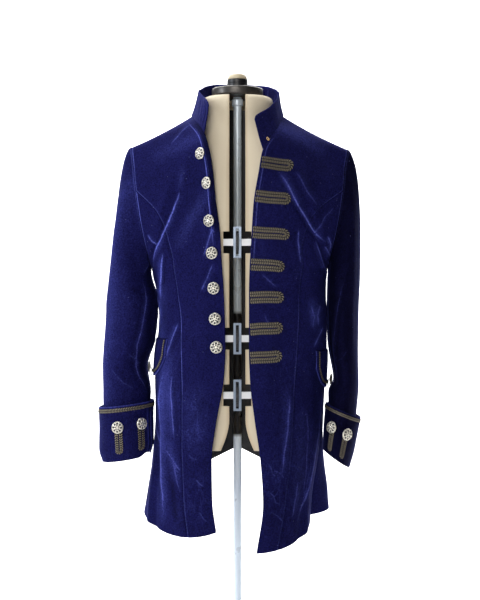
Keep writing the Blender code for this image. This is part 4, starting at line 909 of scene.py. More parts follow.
def foldLift(side, panel, row, across, span):
    total = np.zeros(np.shape(row))
    for rowA, acrossA, rowB, acrossB, half, lift in folds[side, panel]:
        t = (row - rowA) / (rowB - rowA)
        away = (across - acrossA - (acrossB - acrossA) * t) * span / half
        inside = np.clip(t, 0, 1)
        fade = np.clip(4 * inside * (1 - inside), 0, 1) if rowA >= 0 else 1 - inside**2
        total = total + lift * np.where((t > 0) & (t < 1), fade, 0) * np.exp(-(away**2))
    return total


def clothLift(side, panel, row, across, full=False):
    # everything that lifts the cloth: large folds, creases, an uneven hang and the rolled edge
    row, across = np.broadcast_arrays(np.asarray(row, float), np.asarray(across, float))
    point, chord = basePoint(side, panel, row, across)
    x, z = point[..., 0], point[..., 2]
    height, paintedSheen, paintedShade, line, gleam = creaseField(creases[side, panel], x, z)
    lift = foldLift(side, panel, row, across, chord * 1.1) + height
    seed = 11 if side == "right" else 12
    hang = 0.7 * waves(x, 0.6 * z, seed, 90.0) + 0.28 * waves(x * 1.4, z, seed + 2, 34.0)
    fade = smoothStep(0, 0.12, across) * smoothStep(0, 0.10, 1 - across)
    lift = lift + hang * fade * smoothStep(0, 0.6, shoulderRow - row)
    if full:
        # with full, the masks as well: painted sheen, painted shade, the painted highlight lines and the
        # crushed marks
        bright, dark, crushed = sheenField(side, panel, x, z)
        return point, dict(paintedSheen=paintedSheen + bright, paintedShade=np.maximum(paintedShade, dark), line=line,
                           gleam=gleam, crushed=crushed)
    return point, lift


def clothPoint(side, panel, row, across):
    point, lift = clothLift(side, panel, row, across)
    point = point + normalOf(plainPoint, side, panel, row, across) * lift[..., None]
    return rollEdge(side, panel, row, across, point)


def rollEdge(side, panel, row, across, point):
    # the right front's edge above the waist turns back: a strip next to it falls away
    if (side, panel) != ("right", "front"):
        return point
    amount = band(*rolledEdge["rows"], row)
    chord = basePoint(side, panel, row, np.zeros_like(np.asarray(across, float)))[1]
    near = np.clip(1 - across * chord * 1.15 / rolledEdge["width"], 0, 1)
    moved = point.copy()
    moved[..., 1] += rolledEdge["depth"] * amount * near**1.4
    moved[..., 0] += 1.5 * amount * near**1.4
    return moved


class DistanceMap:
    # the distance along each row from its start, kept on a grid and read both ways
    perRow, perShare = 20, 120

    def __init__(self, side, panel):
        rows = np.linspace(0, shoulderRow, shoulderRow * self.perRow + 1)[:, None]
        self.walked = walkedAlong(plainPoint(side, panel, rows, np.linspace(0, 1, self.perShare + 1)), 1)

    def at(self, row, share):
        # read between the four nearest places of the grid
        last = np.array(self.walked.shape) - 1.001
        r, s = np.clip(row * self.perRow, 0, last[0]), np.clip(share * self.perShare, 0, last[1])
        i, j = r.astype(int), s.astype(int)
        fr, fs = r - i, s - j
        low = self.walked[i, j] * (1 - fs) + self.walked[i, j + 1] * fs
        high = self.walked[i + 1, j] * (1 - fs) + self.walked[i + 1, j + 1] * fs
        return low * (1 - fr) + high * fr

    def share(self, row, distance):
        row, distance = np.broadcast_arrays(np.asarray(row, float), np.asarray(distance, float))
        whole = self.at(row, np.ones_like(row))
        share = distance / whole
        for _ in range(6):
            share = np.clip(share + (distance - self.at(row, share)) / whole, 0, 1)
        return share


distances = {(s, p): DistanceMap(s, p) for s in sideSign for p in ("front", "back")}


def rowAt(side, name, value):
    fine = np.linspace(0, shoulderRow, 900)
    return np.interp(value, along(fronts[side], name, fine), fine)


def addPanel(name, side, panel, rowRange, startShare, endShare, size, seams):
    # a panel over rows and shares; seams names the ends that turn in to a seam
    lowRow, highRow = rowRange
    line = np.linspace(lowRow, highRow, size[0])
    start, end = startShare(line)[:, None], endShare(line)[:, None]
    shares = start + (end - start) * np.linspace(0, 1, size[1])[None, :]
    rows = np.repeat(line[:, None], size[1], axis=1)
    masks = clothLift(side, panel, rows, shares, full=True)[1]
    points = clothPoint(side, panel, rows, shares)
    normals = gridNormals(points, side, panel)
    width, drop = walkedAlong(points, 1), walkedAlong(points[::-1])[::-1]
    ways = dict(start=width, end=width[:, -1:] - width, top=drop)
    nearSeam = np.min([ways[name] for name in seams], axis=0)
    dip = np.exp(-((nearSeam / seamGroove["width"]) ** 2))
    points = points - normals * (seamGroove["depth"] * dip)[..., None]
    # painted shade in the seam's groove
    masks["paintedShade"] = np.maximum(masks["paintedShade"], 0.6 * smoothStep(0.72, 1.0, dip))
    masks["seam"] = np.clip((nearSeam - seamGroove["line"]) / 8, -1, 1)
    # a painted highlight line along the seam
    masks["seamGleam"] = seamShine(name, points[..., 2], ways) * smoothStep(7, 5, nearSeam)
    # the right front: a painted highlight along the rolled edge's ridge, and painted shade on the strip
    # beyond it
    if name == "front_right":
        amount = band(*rolledEdge["rows"], rows)
        edgeLine(masks, width - rolledEdge["width"], 0.58 * amount)
        outside = smoothStep(0, 5, rolledEdge["width"] - 2 - width)
        masks["paintedShade"] = np.maximum(masks["paintedShade"], amount * outside * 0.9)
    # the left front: a painted highlight line 6.5 mm in from the edge
    if name == "front_left":
        edgeLine(masks, width - 6.5, 0.30 * band(7.6, 8.6, 12, 12.8, rows))
    masks["paintedSheen"] = np.clip(masks["paintedSheen"], 0, 1)
    clothWall(name, points, normals, masks)


def edgeLine(masks, away, gleam):
    # a painted highlight line beside the front edge takes the place of any crease that is farther away
    closer = (np.abs(away) < 6) & (np.abs(away) / 8 < np.abs(masks["line"])) & (gleam > 0.02)
    masks["line"] = np.where(closer, away / 8, masks["line"])
    masks["gleam"] = np.where(closer, gleam * smoothStep(6, 4, np.abs(away)), masks["gleam"])


def seamShine(name, z, ways):
    # how bright the painted highlight along a seam is: brightest where the armhole meets the chest
    piece, side = name.rsplit("_", 1)
    ends = ways["end"] < ways["start"]
    broken = 0.75 + 0.25 * waves(0.4 * z, z, 77, 60.0)
    if piece == "side_front":
        armhole = smoothStep(1150, 1180, z) * (0.9 if side == "right" else 0.42)
        return broken * armhole * ends
    if piece == "front":
        above = smoothStep(1372, 1384, z)  # where the seam has met the armhole
        chest, waist = 0.34 * smoothStep(1270, 1310, z), 0.42 * band(880, 930, 1080, 1130, z)
        seam, armhole = (1.0, 0.55) if side == "right" else (0.55, 0.25)
        below = np.maximum(np.maximum(chest, 0.13) * (1 - above), waist) * seam
        return broken * (below + armhole * above) * np.where(ways["top"] < ways["end"], 0.25, ends)
    return 0.16 * broken * ends


def gridNormals(points, side, panel):
    # outward directions of a panel's grid
    return slopeNormals(points) * sideSign[side] * (1.0 if panel == "front" else -1.0)


def addBody(side):
    gap = 0.3
    shares = princess[side]

    def seamAt(rows):
        return smoothCurve(np.arange(len(shares)), shares, np.minimum(rows, princessTip))

    def gapShare(panel, rows):
        return gap / 2 / distances[side, panel].at(np.asarray(rows, float), np.ones_like(rows))

    top = shoulderRow - 0.012
    addPanel(f"front_{side}", side, "front", (0, top), lambda r: 0 * r,
             lambda r: seamAt(r) - gapShare("front", r), (330, 80), ("end", "top"))
    addPanel(f"side_front_{side}", side, "front", (0, princessTip - 0.05),
             lambda r: seamAt(r) + gapShare("front", r), lambda r: 1 - gapShare("front", r),
             (260, 56), ("start", "end"))
    addPanel(f"back_{side}", side, "back", (0, top), lambda r: 2 * gapShare("back", r),
             lambda r: 1 - gapShare("back", r), (200, 64), ("end", "top"))
    print("body:", side, "front, side front and back")


# collar

collarTable = tableOf("at leanX leanY rise", [
    (0.0, 9.0, 24.0, 66.0), (0.1, 11.8, 22.0, 57.5), (0.2, 14.5, 12.5, 54.0), (0.3, 14.3, 1.7, 62.5),
    (0.4, 8.0, -3.5, 65.5), (0.5, 0.0, -6.0, 65.0), (0.6, -5.0, -3.5, 63.0), (0.7, -5.0, 2.0, 56.5),
    (0.75, -9.5, 6.0, 51.5), (0.8, -7.5, 10.0, 51.0), (0.9, -9.0, 15.5, 55.0),
    (1.0, -18.0, 14.0, 66.5)])
collarSettings = dict(seam=2.0, columns=170, rows=24, round=7.0, tall=62.0)
# collar creases: as above, x being the distance round the neck from the right front end
collarCreases = [
    ([(16, 60), (12, 36), (15, 4)], 3, 4, 1.4, 0.8), ([(30, 58), (22, 34), (26, 6)], 4, 3, 1.2, 0.65),
    ([(40, 50), (34, 26), (20, 8)], 4, 4, 1.0, 0.6), ([(62, 56), (58, 30), (50, 10)], 5, 5, 1.0, 0.3),
    ([(300, 56), (310, 34), (330, 12)], 6, 4, 1.2, 0.22),
    ([(338, 58), (334, 30), (346, 4)], 5, 4, 1.2, 0.3),
    ([(176, 58), (182, 30), (178, 8)], 9, 9, -0.8, 0.0),
    ([(366, 44), (360, 28), (352, 14)], 5, 4, 0.8, 0.15)]


def necklinePoints():
    # from the right front end round the back to the left front end
    up, spots = np.linspace(collarRow, shoulderRow, 16), []
    for side, panel, rows in (("right", "front", up), ("right", "back", up[-2::-1]),
                              ("left", "back", up[1:]), ("left", "front", up[-2::-1])):
        spots.append(plainPoint(side, panel, rows, 0))
    return np.vstack(spots)


def addCollar():
    # each point is the neckline's point plus a share of the lean and rise at that place
    line = necklinePoints()
    walked = walkedAlong(line)
    across, height = np.meshgrid(np.linspace(0, 1, collarSettings["columns"]),
                                 np.linspace(0, 1, collarSettings["rows"]))
    at = across * walked[-1]
    base = np.stack([np.interp(at, walked, line[:, k]) for k in range(3)], axis=-1)
    lean = np.stack([smoothCurve(collarTable["at"], collarTable[name], across)
                     for name in ("leanX", "leanY", "rise")], axis=-1)
    rise = collarSettings["seam"] / lengthOf(lean)[..., 0]
    share = rise + (1 - rise) * height
    corner = np.minimum(at, walked[-1] - at) / collarSettings["round"]
    share = share * (1 - 0.05 * np.clip(1 - corner, 0, 1) ** 2)
    points = base + lean * share[..., None]
    points[..., 2] += 0.9 * np.sin(across * 9.0) * height
    normals = slopeNormals(points)
    uneven = 0.8 * waves(at, 60 * height, 31, 42.0) * smoothStep(0, 0.3, height)
    bulge = 1.6 * np.sin(np.pi * height) + uneven
    fold, paintedSheen, paintedShade, line, gleam = creaseField(collarCreases, at, collarSettings["tall"] * height)
    points = points + normals * (bulge + fold)[..., None]
    high = share * lengthOf(lean)[..., 0]
    left = smoothStep(0.55, 0.8, across)
    # painted sheen along the collar's top edge, painted shade at its foot, and a painted highlight along
    # its seam, stronger on the left
    masks = dict(
        paintedSheen=np.maximum(paintedSheen, 0.18 * smoothStep(0.92, 1.0, height)), line=line, gleam=gleam,
        paintedShade=np.maximum(paintedShade, smoothStep(0.10, 0.0, height) * 0.7),
        seam=np.clip((high - 3.5) / 8, -1, 1), seamGleam=(0.12 + 0.30 * left) * smoothStep(8, 6, high),
        crushed=np.full_like(at, 0.3))
    clothWall("collar", points, normals, masks)


# sleeves

ovalColumns = "x y z halfWidth halfDepth turn rise"
sleeves = {
    "right": tableOf(ovalColumns, [
        (-224.8, 8, 1128, 46.2, 66, 10, 0.16), (-221.6, 10, 1090, 53.4, 65, 11, 0.10),
        (-226.4, 12, 1020, 52.6, 62, 13, 0.04), (-236.2, 10, 960, 44.8, 60, 13, 0.02),
        (-231.4, -1, 905, 48.6, 55, 12, 0.05), (-232, -9, 850, 45.5, 54, 10, 0.12),
        (-231, -16, 779, 46.4, 55.4, 8, 0.15)]),
    "left": tableOf(ovalColumns, [
        (223, 10, 1128, 33, 76, -4, -0.30), (222.2, 12, 1090, 32.8, 77, -4, -0.16),
        (222, 14, 1020, 31.5, 77, -3, -0.06), (228, 9, 936, 25.6, 75.5, -2, -0.06),
        (222, 4, 905, 30, 72, -4, -0.16), (218.5, -4, 850, 27, 68, -7, -0.46),
        (206, -12, 777, 24.2, 63.2, -8, -0.72)]),
}
cuffs = {
    "right": tableOf(ovalColumns, [
        (-231, -16, 773, 49, 58, 8, 0.15), (-231.5, -14, 800, 55.5, 63, 8, 0.15),
        (-232, -10, 846, 55.5, 64, 10, 0.14), (-232, -7, 884, 56, 65.5, 12, 0.12)]),
    "left": tableOf(ovalColumns, [
        (206, -12, 771, 27, 66, -8, -0.72), (211, -10, 798, 30.5, 70, -8, -0.62),
        (217, -6, 837, 34, 74, -7, -0.50), (221.5, -3, 870, 36, 76, -6, -0.42)]),
}
armholeLap, lapRows, sleeveGirth = 2.6, 2.6, 330.0
# sleeve creases: as above, across being the distance round the sleeve from its inner side, which
# runs forwards and then outwards
sleeveCreases = {
    "right": [([(32, 1150), (40, 1070), (47, 1008), (31, 940), (10, 898)], 4, 7, 2.0, 0.34),
              ([(12, 1196), (22, 1172), (32, 1150)], 4, 4, 1.2, 0.2),
              ([(70, 1130), (40, 1112), (12, 1108)], 8, 6, -1.2, 0.0),
              ([(60, 990), (36, 972), (20, 968)], 6, 5, 0.9, 0.12),
              ([(118, 1250), (112, 1120), (116, 1000)], 15, 12, 0.8, 0.0),
              ([(150, 1340), (140, 1240)], 12, 10, -0.9, 0.0),
              ([(-72, 1100), (-40, 1076), (-16, 1060)], 8, 6, 1.6, 0.3),
              ([(-92, 1050), (-40, 1034), (-8, 1020)], 8, 6, -1.3, 0.0),
              ([(96, 960), (70, 930), (46, 916)], 7, 5, 0.8, 0.1),
              ([(-128, 1300), (-120, 1150), (-118, 1000)], 14, 10, 1.2, 0.15)],
    "left": [([(84, 1150), (64, 1075), (47, 1000), (43, 940), (46, 898)], 5, 7, 2.2, 0.24),
             ([(24, 1120), (28, 1020), (26, 920)], 4, 4, 1.2, 0.12),
             ([(108, 1300), (116, 1130), (110, 960)], 8, 8, 1.2, 0.1),
             ([(80, 1110), (44, 1096), (14, 1090)], 8, 6, -1.2, 0.0),
             ([(96, 1000), (70, 980), (40, 972)], 8, 6, 0.8, 0.08),
             ([(-72, 1100), (-40, 1072), (-14, 1054)], 8, 6, 1.6, 0.3),
             ([(-98, 1040), (-44, 1026), (-8, 1012)], 8, 6, -1.3, 0.0),
             ([(-138, 1280), (-126, 1120), (-124, 1000)], 14, 10, 1.2, 0.15)],
}
# painted sheen and painted shade on the sleeves, as above
sleeveSheens = {
    "right": [([(14, 1170), (22, 1060), (20, 960), (0, 900)], 13, -0.8),
              ([(120, 1330), (112, 1130), (120, 900)], 26, 0.12),
              ([(60, 1420), (64, 1380)], 20, 0.14)],
    "left": [([(30, 1170), (24, 1060), (20, 940), (20, 890)], 24, -0.85),
             ([(60, 1330), (40, 1200)], 22, -0.35),
             ([(100, 1120), (84, 960)], 16, -0.2)],
}


def ovalPoint(table, side, share, at):
    middle = np.stack([along(table, name, at) for name in "xyz"], axis=-1)
    wide, deep = along(table, "halfWidth", at), along(table, "halfDepth", at)
    turn = np.radians(along(table, "turn", at)) * sideSign[side]
    angle = 2 * np.pi * share
    x, y = -sideSign[side] * wide * np.cos(angle), -deep * np.sin(angle)
    offset = np.stack([x * np.cos(turn) - y * np.sin(turn), x * np.sin(turn) + y * np.cos(turn),
                       np.zeros_like(x)], axis=-1)
    offset[..., 2] = offset[..., 0] * along(table, "rise", at)
    return middle + offset


def armhole(side, share):
    # the sleeve's upper edge follows the two armhole lines, pushed off them by the seam
    place, lap, over = (np.zeros((len(share), k)) for k in (3, 1, 3))
    for panel, chosen in (("front", share <= 0.5), ("back", share > 0.5)):
        rows = np.linspace(armpitRow, shoulderRow, 60)
        line = sideSeam(side, rows, panel)
        walked = walkedAlong(line)
        row = np.interp(1 - abs(1 - 2 * share[chosen]), walked / walked[-1], rows)
        one = np.ones_like(row)
        edge, within = plainPoint(side, panel, row, one), plainPoint(side, panel, row, one * 0.98)
        normal = normalOf(plainPoint, side, panel, row, one)
        part = np.clip(1 - (row - armpitRow) / lapRows, 0, 1)[:, None]
        way = unit(edge - within)
        slack = 0.3 + 3.4 * part * (1 - part)
        place[chosen] = edge + way * slack * (1 - part) + normal * armholeLap * part
        lap[chosen], over[chosen] = part, way
    return place, lap, over


def sleeveGrid(side, around, capRings, armRings):
    table = sleeves[side]
    share = np.linspace(0, 1, around, endpoint=False)
    start, lap, over = armhole(side, share)
    first = ovalPoint(table, side, share, np.zeros_like(share))
    second = ovalPoint(table, side, share, np.full_like(share, 0.3))
    chord = lengthOf(first - start)
    top = (0.5 - 0.5 * np.cos(2 * np.pi * share))[:, None]
    outward, down = np.array([sideSign[side], 0.0, 0.0]), np.array([0.0, 0.0, -1.0])
    way = unit(over * (1 - lap) * 0.5 + outward * top * 0.9 + down * (1.3 - top))
    leave = start + way * chord * (0.33 - 0.23 * top)
    arrive = first - unit(second - first) * chord * (0.33 + 0.15 * top)
    rings = [cubic(start, leave, arrive, first, np.full(around, t))
             for t in np.linspace(0, 1, capRings, endpoint=False)]
    ats = np.linspace(0, len(table["z"]) - 1, armRings)
    rings += [ovalPoint(table, side, share, np.full(around, at)) for at in ats]
    return np.array(rings), np.tile(share, (len(rings), 1))


def ringNormals(points, side):
    roundWay = np.roll(points, -1, axis=1) - np.roll(points, 1, axis=1)
    return unit(np.cross(np.gradient(points, axis=0), roundWay)) * sideSign[side]


def addSleeve(side):
    points, share = sleeveGrid(side, 112, 72, 84)
    normals = ringNormals(points, side)
    z, across = points[..., 2], ((share + 0.5) % 1 - 0.5) * sleeveGirth
    lift, paintedSheen, paintedShade, line, gleam = creaseField(sleeveCreases[side], across, z)
    # the painted sheen and painted shade of the sleeve's bands
    for spots, half, amount in sleeveSheens[side]:
        strip = abs(amount) * np.exp(-((nearLine(spots, across, z)[0] / half) ** 2))
        paintedSheen, paintedShade = (paintedSheen + strip, paintedShade) if amount > 0 else (paintedSheen, np.maximum(paintedShade, strip))
    ring = np.arange(points.shape[0])[:, None] * np.ones_like(share)
    uneven = waves(share * sleeveGirth, 0.5 * z, 41 if side == "right" else 42, 80.0)
    lift = (lift + 0.8 * uneven) * smoothStep(0, 14, ring)
    # ease round the sleeve's head: small puckers that fade down from the seam
    head = 0.5 - 0.5 * np.cos(2 * np.pi * share)
    lift += 0.35 * np.cos(2 * np.pi * share * 46) * head * np.exp(-(((ring - 5) / 5) ** 2))
    points = points + normals * lift[..., None]
    drop = walkedAlong(points)
    dip = np.exp(-((drop / seamGroove["width"]) ** 2)) * head
    points = points - normals * (0.9 * dip)[..., None]
    # painted shade in the sleeve head's seam groove
    paintedShade = np.maximum(paintedShade, smoothStep(0.6, 1.0, dip) * 0.8)
    normals = ringNormals(points, side)
    # and a painted highlight along the head's seam
    masks = dict(paintedSheen=np.clip(paintedSheen, 0, 1), paintedShade=paintedShade, line=line, gleam=gleam,
                 seam=np.clip((drop - 2.0) / 8, -1, 1), crushed=0.15 * np.ones_like(share),
                 seamGleam=0.22 * head * smoothStep(7, 5, drop))
    clothWall(f"sleeve_{side}", points, normals, masks, True, side)


# cuffs

cuffSettings = dict(
    braid=(-0.32, -0.10), braidWidth=8.0, braidLength=392.0, girth=380.0, tall=111.0, rowTall=37.8,
    loop=49.0,
    right=dict(corner=0.045, reach=0.085, rise=20.0, shares=(0.25, 0.118), at=1.9),
    left=dict(corner=0.0, reach=0.05, rise=6.0, shares=(0.315, 0.19), at=1.8))


def cuffSurface(side, share, at):
    table = cuffs[side]
    share, at = np.broadcast_arrays(np.asarray(share, float), np.asarray(at, float))
    top, step = len(table["z"]) - 1.0, 0.004
    point = ovalPoint(table, side, share, at)
    ahead = ovalPoint(table, side, share + step, at)
    above = ovalPoint(table, side, share, np.minimum(at + 0.02, top))
    below = ovalPoint(table, side, share, np.maximum(at - 0.02, 0))
    normal = unit(np.cross(ahead - point, above - below)) * sideSign[side]
    wave = 0.9 * waves(share * cuffSettings["girth"], point[..., 2], 51 if side == "right" else 52, 70.0)
    return point + normal * (wave * smoothStep(0, 1.5, at))[..., None], normal


def addCuff(side):
    # the lower edge rises in an arc beside the cuff's opening, which lies next to the body
    spec = cuffSettings[side]
    top = len(cuffs[side]["z"]) - 1.0
    share, at = np.meshgrid(np.linspace(0, 1, 150, endpoint=False), np.linspace(0, 1, 44))
    away = np.abs((share - spec["corner"] + 0.5) % 1 - 0.5) / spec["reach"]
    low = spec["rise"] / cuffSettings["tall"] * top * np.clip(1 - away, 0, 1) ** 1.7
    at = low + (top - low) * at
    points, normals = cuffSurface(side, share, at)
    fromOpening = away * spec["reach"] * cuffSettings["girth"]
    nearOpening = np.exp(-((fromOpening / 3.0) ** 2))
    points = points - normals * (1.6 * nearOpening * smoothStep(top, top - 1, at))[..., None]
    # a painted highlight on the lip beside the opening and along the top edge, and painted shade in the
    # opening
    paintedSheen = 0.45 * np.exp(-(((fromOpening - 6) / 3.0) ** 2)) * smoothStep(top, top - 1.2, at)
    edge = 0.4 * smoothStep(top - 0.06, top, at)
    masks = {"paintedSheen": np.maximum(paintedSheen, edge), "paintedShade": nearOpening * 0.9}
    clothWall(f"cuff_{side}", points, normals, masks, True, side)
    ring = np.linspace(0, 1, 760, endpoint=False)

    def place(_, sideways):
        at = top + np.mean(cuffSettings["braid"]) + sideways / cuffSettings["rowTall"]
        return cuffSurface(side, ring[:, None], at)

    addBraid(f"cuff_braid_{side}", ring * cuffSettings["braidLength"], cuffSettings["braidWidth"],
             place, 1.3)
    for number, share in enumerate(spec["shares"], 1):
        addCuffButton(side, number, share, spec["at"])
    print("cuff:", side)


# braid

braidSettings = dict(pitch=3.6, chevron=0.60, rib=0.55, scallop=0.50, arch=0.75)
smallLoop = dict(bend=4.6, width=7.4)  # the loops that hang on the cuffs and the flaps


def addBraid(name, walked, width, place, lift, path=None):
    # a tube of flattened section: the top arches, and slanted ribs cross it from each side to
    # the middle; the edges are scalloped by the ribs' ends. Without a path it is a closed ring
    section = np.concatenate([np.linspace(-1, 1, 11), [0.82, -0.82]])
    top = np.array([True] * 11 + [False] * 2)
    v = section[None, :]
    u = walked[:, None]
    phase = 2 * np.pi * (u / braidSettings["pitch"] - np.abs(v) * braidSettings["chevron"])
    rib = 0.5 + 0.5 * np.cos(phase)
    middle = np.exp(-((v / 0.16) ** 2))
    arch = np.sqrt(np.clip(1 - (v * 0.96) ** 2, 0, 1))
    height = braidSettings["arch"] * arch + braidSettings["rib"] * rib * (0.35 + 0.65 * arch) * (1 - middle)
    height = np.where(top, height, -0.55)
    half = width / 2 + braidSettings["scallop"] * (rib - 0.5) * (np.abs(v) > 0.8)
    sideways = v * half
    if path is None:
        point, normal = place(u, sideways)
    else:
        way = unit(np.gradient(path, axis=0))
        across = np.stack([-way[:, 1], way[:, 0]], axis=-1)
        a = path[:, :1] + across[:, :1] * sideways
        b = path[:, 1:] + across[:, 1:] * sideways
        point, normal = place(a, b)
    points = point + normal * (lift + height)[..., None]
    # relief carries the painted shade of the troughs and the painted highlight of the crests to the braid's
    # colour
    relief = np.where(top, np.clip(rib * (0.45 + 0.55 * arch) * (1 - 0.8 * middle), 0, 1), 0.2)
    rows, columns = points.shape[:2]
    faces = gridFaces(rows, columns, ring=True, stack=path is None)
    first = points.reshape(-1, 3)[faces[columns * (rows // 2) + 4]]
    if np.dot(np.cross(first[1] - first[0], first[2] - first[0]), normal[rows // 2, 4]) < 0:
        faces = faces[:, ::-1]
    faces = faces.tolist()
    if path is not None:
        forwards = faces[0][0] == 0 and faces[0][1] == 1
        start, finish = list(range(columns)), list(range((rows - 1) * columns, rows * columns))
        faces.append(start[::-1] if forwards else start)
        faces.append(finish if forwards else finish[::-1])
    keep(meshFrom(name, points, faces, {"relief": relief}), braidMaterial, name)


def doubledBack(start, length, bend, width):
    # the braid's middle line runs out, turns round and comes back, sampled every 0.45 mm
    reach = length - bend - width / 2
    run = np.arange(start, reach, 0.45)
    turn = np.linspace(np.pi / 2, -np.pi / 2, max(int(np.pi * bend / 0.45), 8))
    arc = np.stack([reach + bend * np.cos(turn), bend * np.sin(turn)], axis=-1)
    out = np.stack([run, np.full_like(run, bend)], axis=-1)
    path = np.vstack([out, arc, out[::-1] * [1, -1]])
    return path, walkedAlong(path)


# buttons

# pits are rings of pierced holes: how many, how far out, how wide and how far turned
buttonSettings = dict(radius=12.4, height=6.4, rings=30, steps=80, petals=8,
                      pits=((8, 0.66, 0.185, 0.0), (5, 0.31, 0.115, 0.4), (8, 0.88, 0.06, 0.39)))


def addButton(name, point, normal, spin=0.0):
    # a dome in polar steps; a ring of round holes and an inner ring are pressed in, and petals
    # rise between them, with beads round the rim
    s = buttonSettings
    r = np.linspace(0, 1, s["rings"])[:, None]
    angle = np.linspace(0, 2 * np.pi, s["steps"], endpoint=False)[None, :] + spin
    dome = s["height"] * (0.30 + 0.70 * np.sqrt(np.clip(1 - r**2, 0, 1))) + 0 * angle
    pit = np.zeros_like(dome)
    for count, place, size, offset in s["pits"]:
        nearest = (angle - offset + np.pi / count) % (2 * np.pi / count) - np.pi / count
        away = np.sqrt(r**2 + place**2 - 2 * r * place * np.cos(nearest))
        pit = np.maximum(pit, 1 - smoothStep(size * 0.6, size * 1.25, away))
    petal = 0.35 * np.cos(angle * s["petals"] + np.pi) * band(0.25, 0.5, 0.78, 0.9, r)
    bead = 0.30 * (0.5 + 0.5 * np.cos(angle * 26)) * smoothStep(0.90, 0.96, r)
    scroll = 0.22 * np.cos(6 * angle + 16 * r) * smoothStep(0.08, 0.3, r)
    high = dome + petal + bead + scroll - 1.7 * pit
    x, y = r * s["radius"] * np.cos(angle), r * s["radius"] * np.sin(angle)
    front = np.stack([x, y, high], axis=-1)
    under = [(0.97, 0.26), (0.60, 0.20), (0.42, 0.16), (0.40, 0.0)]
    back = [np.stack([x[-1] * a, y[-1] * a, np.full(s["steps"], b * s["height"])], -1) for a, b in under]
    local = np.concatenate([front, np.array(back)])[1:]
    # the underside takes 0.6 of the holes' dark colour: painted shade under the button
    mask = np.concatenate([pit, np.full((len(back), s["steps"]), 0.6)])[1:]
    flat = np.vstack([local.reshape(-1, 3), [(0, 0, high[0, 0])], [(0, 0, 0)]])
    z = unit(np.asarray(normal, float))
    sideways = unit(np.cross([0, 0, 1.0], z))
    upright = np.cross(z, sideways)
    world = np.asarray(point) + flat @ np.stack([sideways, upright, z])
    pits = np.concatenate([mask.ravel(), [0.0, 0.0]])
    keep(meshFrom(name, world, latheFaces(len(local), s["steps"]), {"pit": pits}), silverMaterial, name)


# what lies on the fronts

frontTrim = dict(
    buttonHeights=(1402, 1339, 1262, 1195, 1124, 1062, 1005), stand=1.9,
    insets=(26.0, 19.0, 19.5, 18.0, 19.0, 18.5, 17.0),
    loopHeights=(1377, 1308, 1236, 1172, 1105, 1040.5, 983), bend=6.6, width=11.2,
    lengths=(70, 74, 76, 70, 70, 68, 66),
    tilts=(0.03, 0.06, 0.03, -0.05, 0.02, 0.06, 0.07), braidLift=1.75)


def onFront(side, distance, height):
    row = rowAt(side, "edgeZ", height)
    share = distances[side, "front"].share(row, distance)
    return clothPoint(side, "front", row, share), normalOf(clothPoint, side, "front", row, share)


def addFrontTrim():
    s = frontTrim
    for number, (height, inset) in enumerate(zip(s["buttonHeights"], s["insets"]), 1):
        point, normal = onFront("right", np.array([inset]), np.array([float(height)]))
        addButton(f"front_button_{number}", point[0] + normal[0] * s["stand"], normal[0], number * 0.7)
    loops = zip(s["loopHeights"], s["lengths"], s["tilts"])
    for number, (height, length, tilt) in enumerate(loops, 1):
        path, walked = doubledBack(1.5, length, s["bend"], s["width"] - 0.8)
        line = path + np.stack([0 * path[:, 0], height + tilt * path[:, 0]], axis=-1)
        line[:, 1] += 0.5 * np.sin(path[:, 0] / 11.0 + number)
        addBraid(f"front_loop_{number}", walked, s["width"], lambda a, b: onFront("left", a, b),
                 s["braidLift"], path=line)
    print("fronts: seven buttons and seven loops of braid")


def addCuffButton(side, number, share, middle):
    table = cuffs[side]
    girth = 2 * np.pi * math.hypot(table["halfWidth"][2], table["halfDepth"][2])
    tall = table["z"][-1] - table["z"][0]

    def place(below, sideways):
        at = middle - below / tall * 3
        return cuffSurface(side, share + sideways / girth * math.sqrt(2), at)

    path, walked = doubledBack(0.0, cuffSettings["loop"], **smallLoop)
    addBraid(f"cuff_loop_{side}_{number}", walked, smallLoop["width"], place, 1.6, path=path)
    point, normal = place(np.array([0.0]), np.array([0.0]))
    addButton(f"cuff_button_{side}_{number}", point[0] + normal[0] * 3.4, normal[0], number * 1.1)


# pocket flaps

flapSettings = dict(width=130.0, endDrop=36.0, pointDrop=77.0, middle=10.0, stand=1.5,
                    top=dict(right=1020.0, left=996.0), inset=9.0, braidWidth=4.6, loop=21.0, rise=17.0)


def flapDrop(ahead):
    s = flapSettings
    inwards = np.clip(1 - np.abs(ahead) / (s["width"] / 2), 0, 1)
    return s["endDrop"] + (s["pointDrop"] - s["endDrop"]) * (1 - (1 - inwards) ** 3.4)


def onSide(side, ahead, height):
    # ahead is the distance in front of the side seam; behind it the back panel carries on
    row = rowAt(side, "sideZ", height)
    row, ahead = np.broadcast_arrays(row, ahead)
    point, normal = np.zeros((*row.shape, 3)), np.zeros((*row.shape, 3))
    for panel, chosen in (("front", ahead >= 0), ("back", ahead < 0)):
        if not chosen.any():
            continue
        r, d = row[chosen], np.abs(ahead[chosen])
        whole = distances[side, panel].at(r, np.ones_like(r))
        share = distances[side, panel].share(r, whole - d)
        point[chosen] = clothPoint(side, panel, r, share)
        n = normalOf(clothPoint, side, panel, r, share)
        other = normalOf(plainPoint, side, "back" if panel == "front" else "front", r, np.ones_like(r))
        near = np.exp(-((d / 10.0) ** 2))[:, None] * 0.5
        normal[chosen] = unit(n * (1 - near) + other * near)
    return point, normal


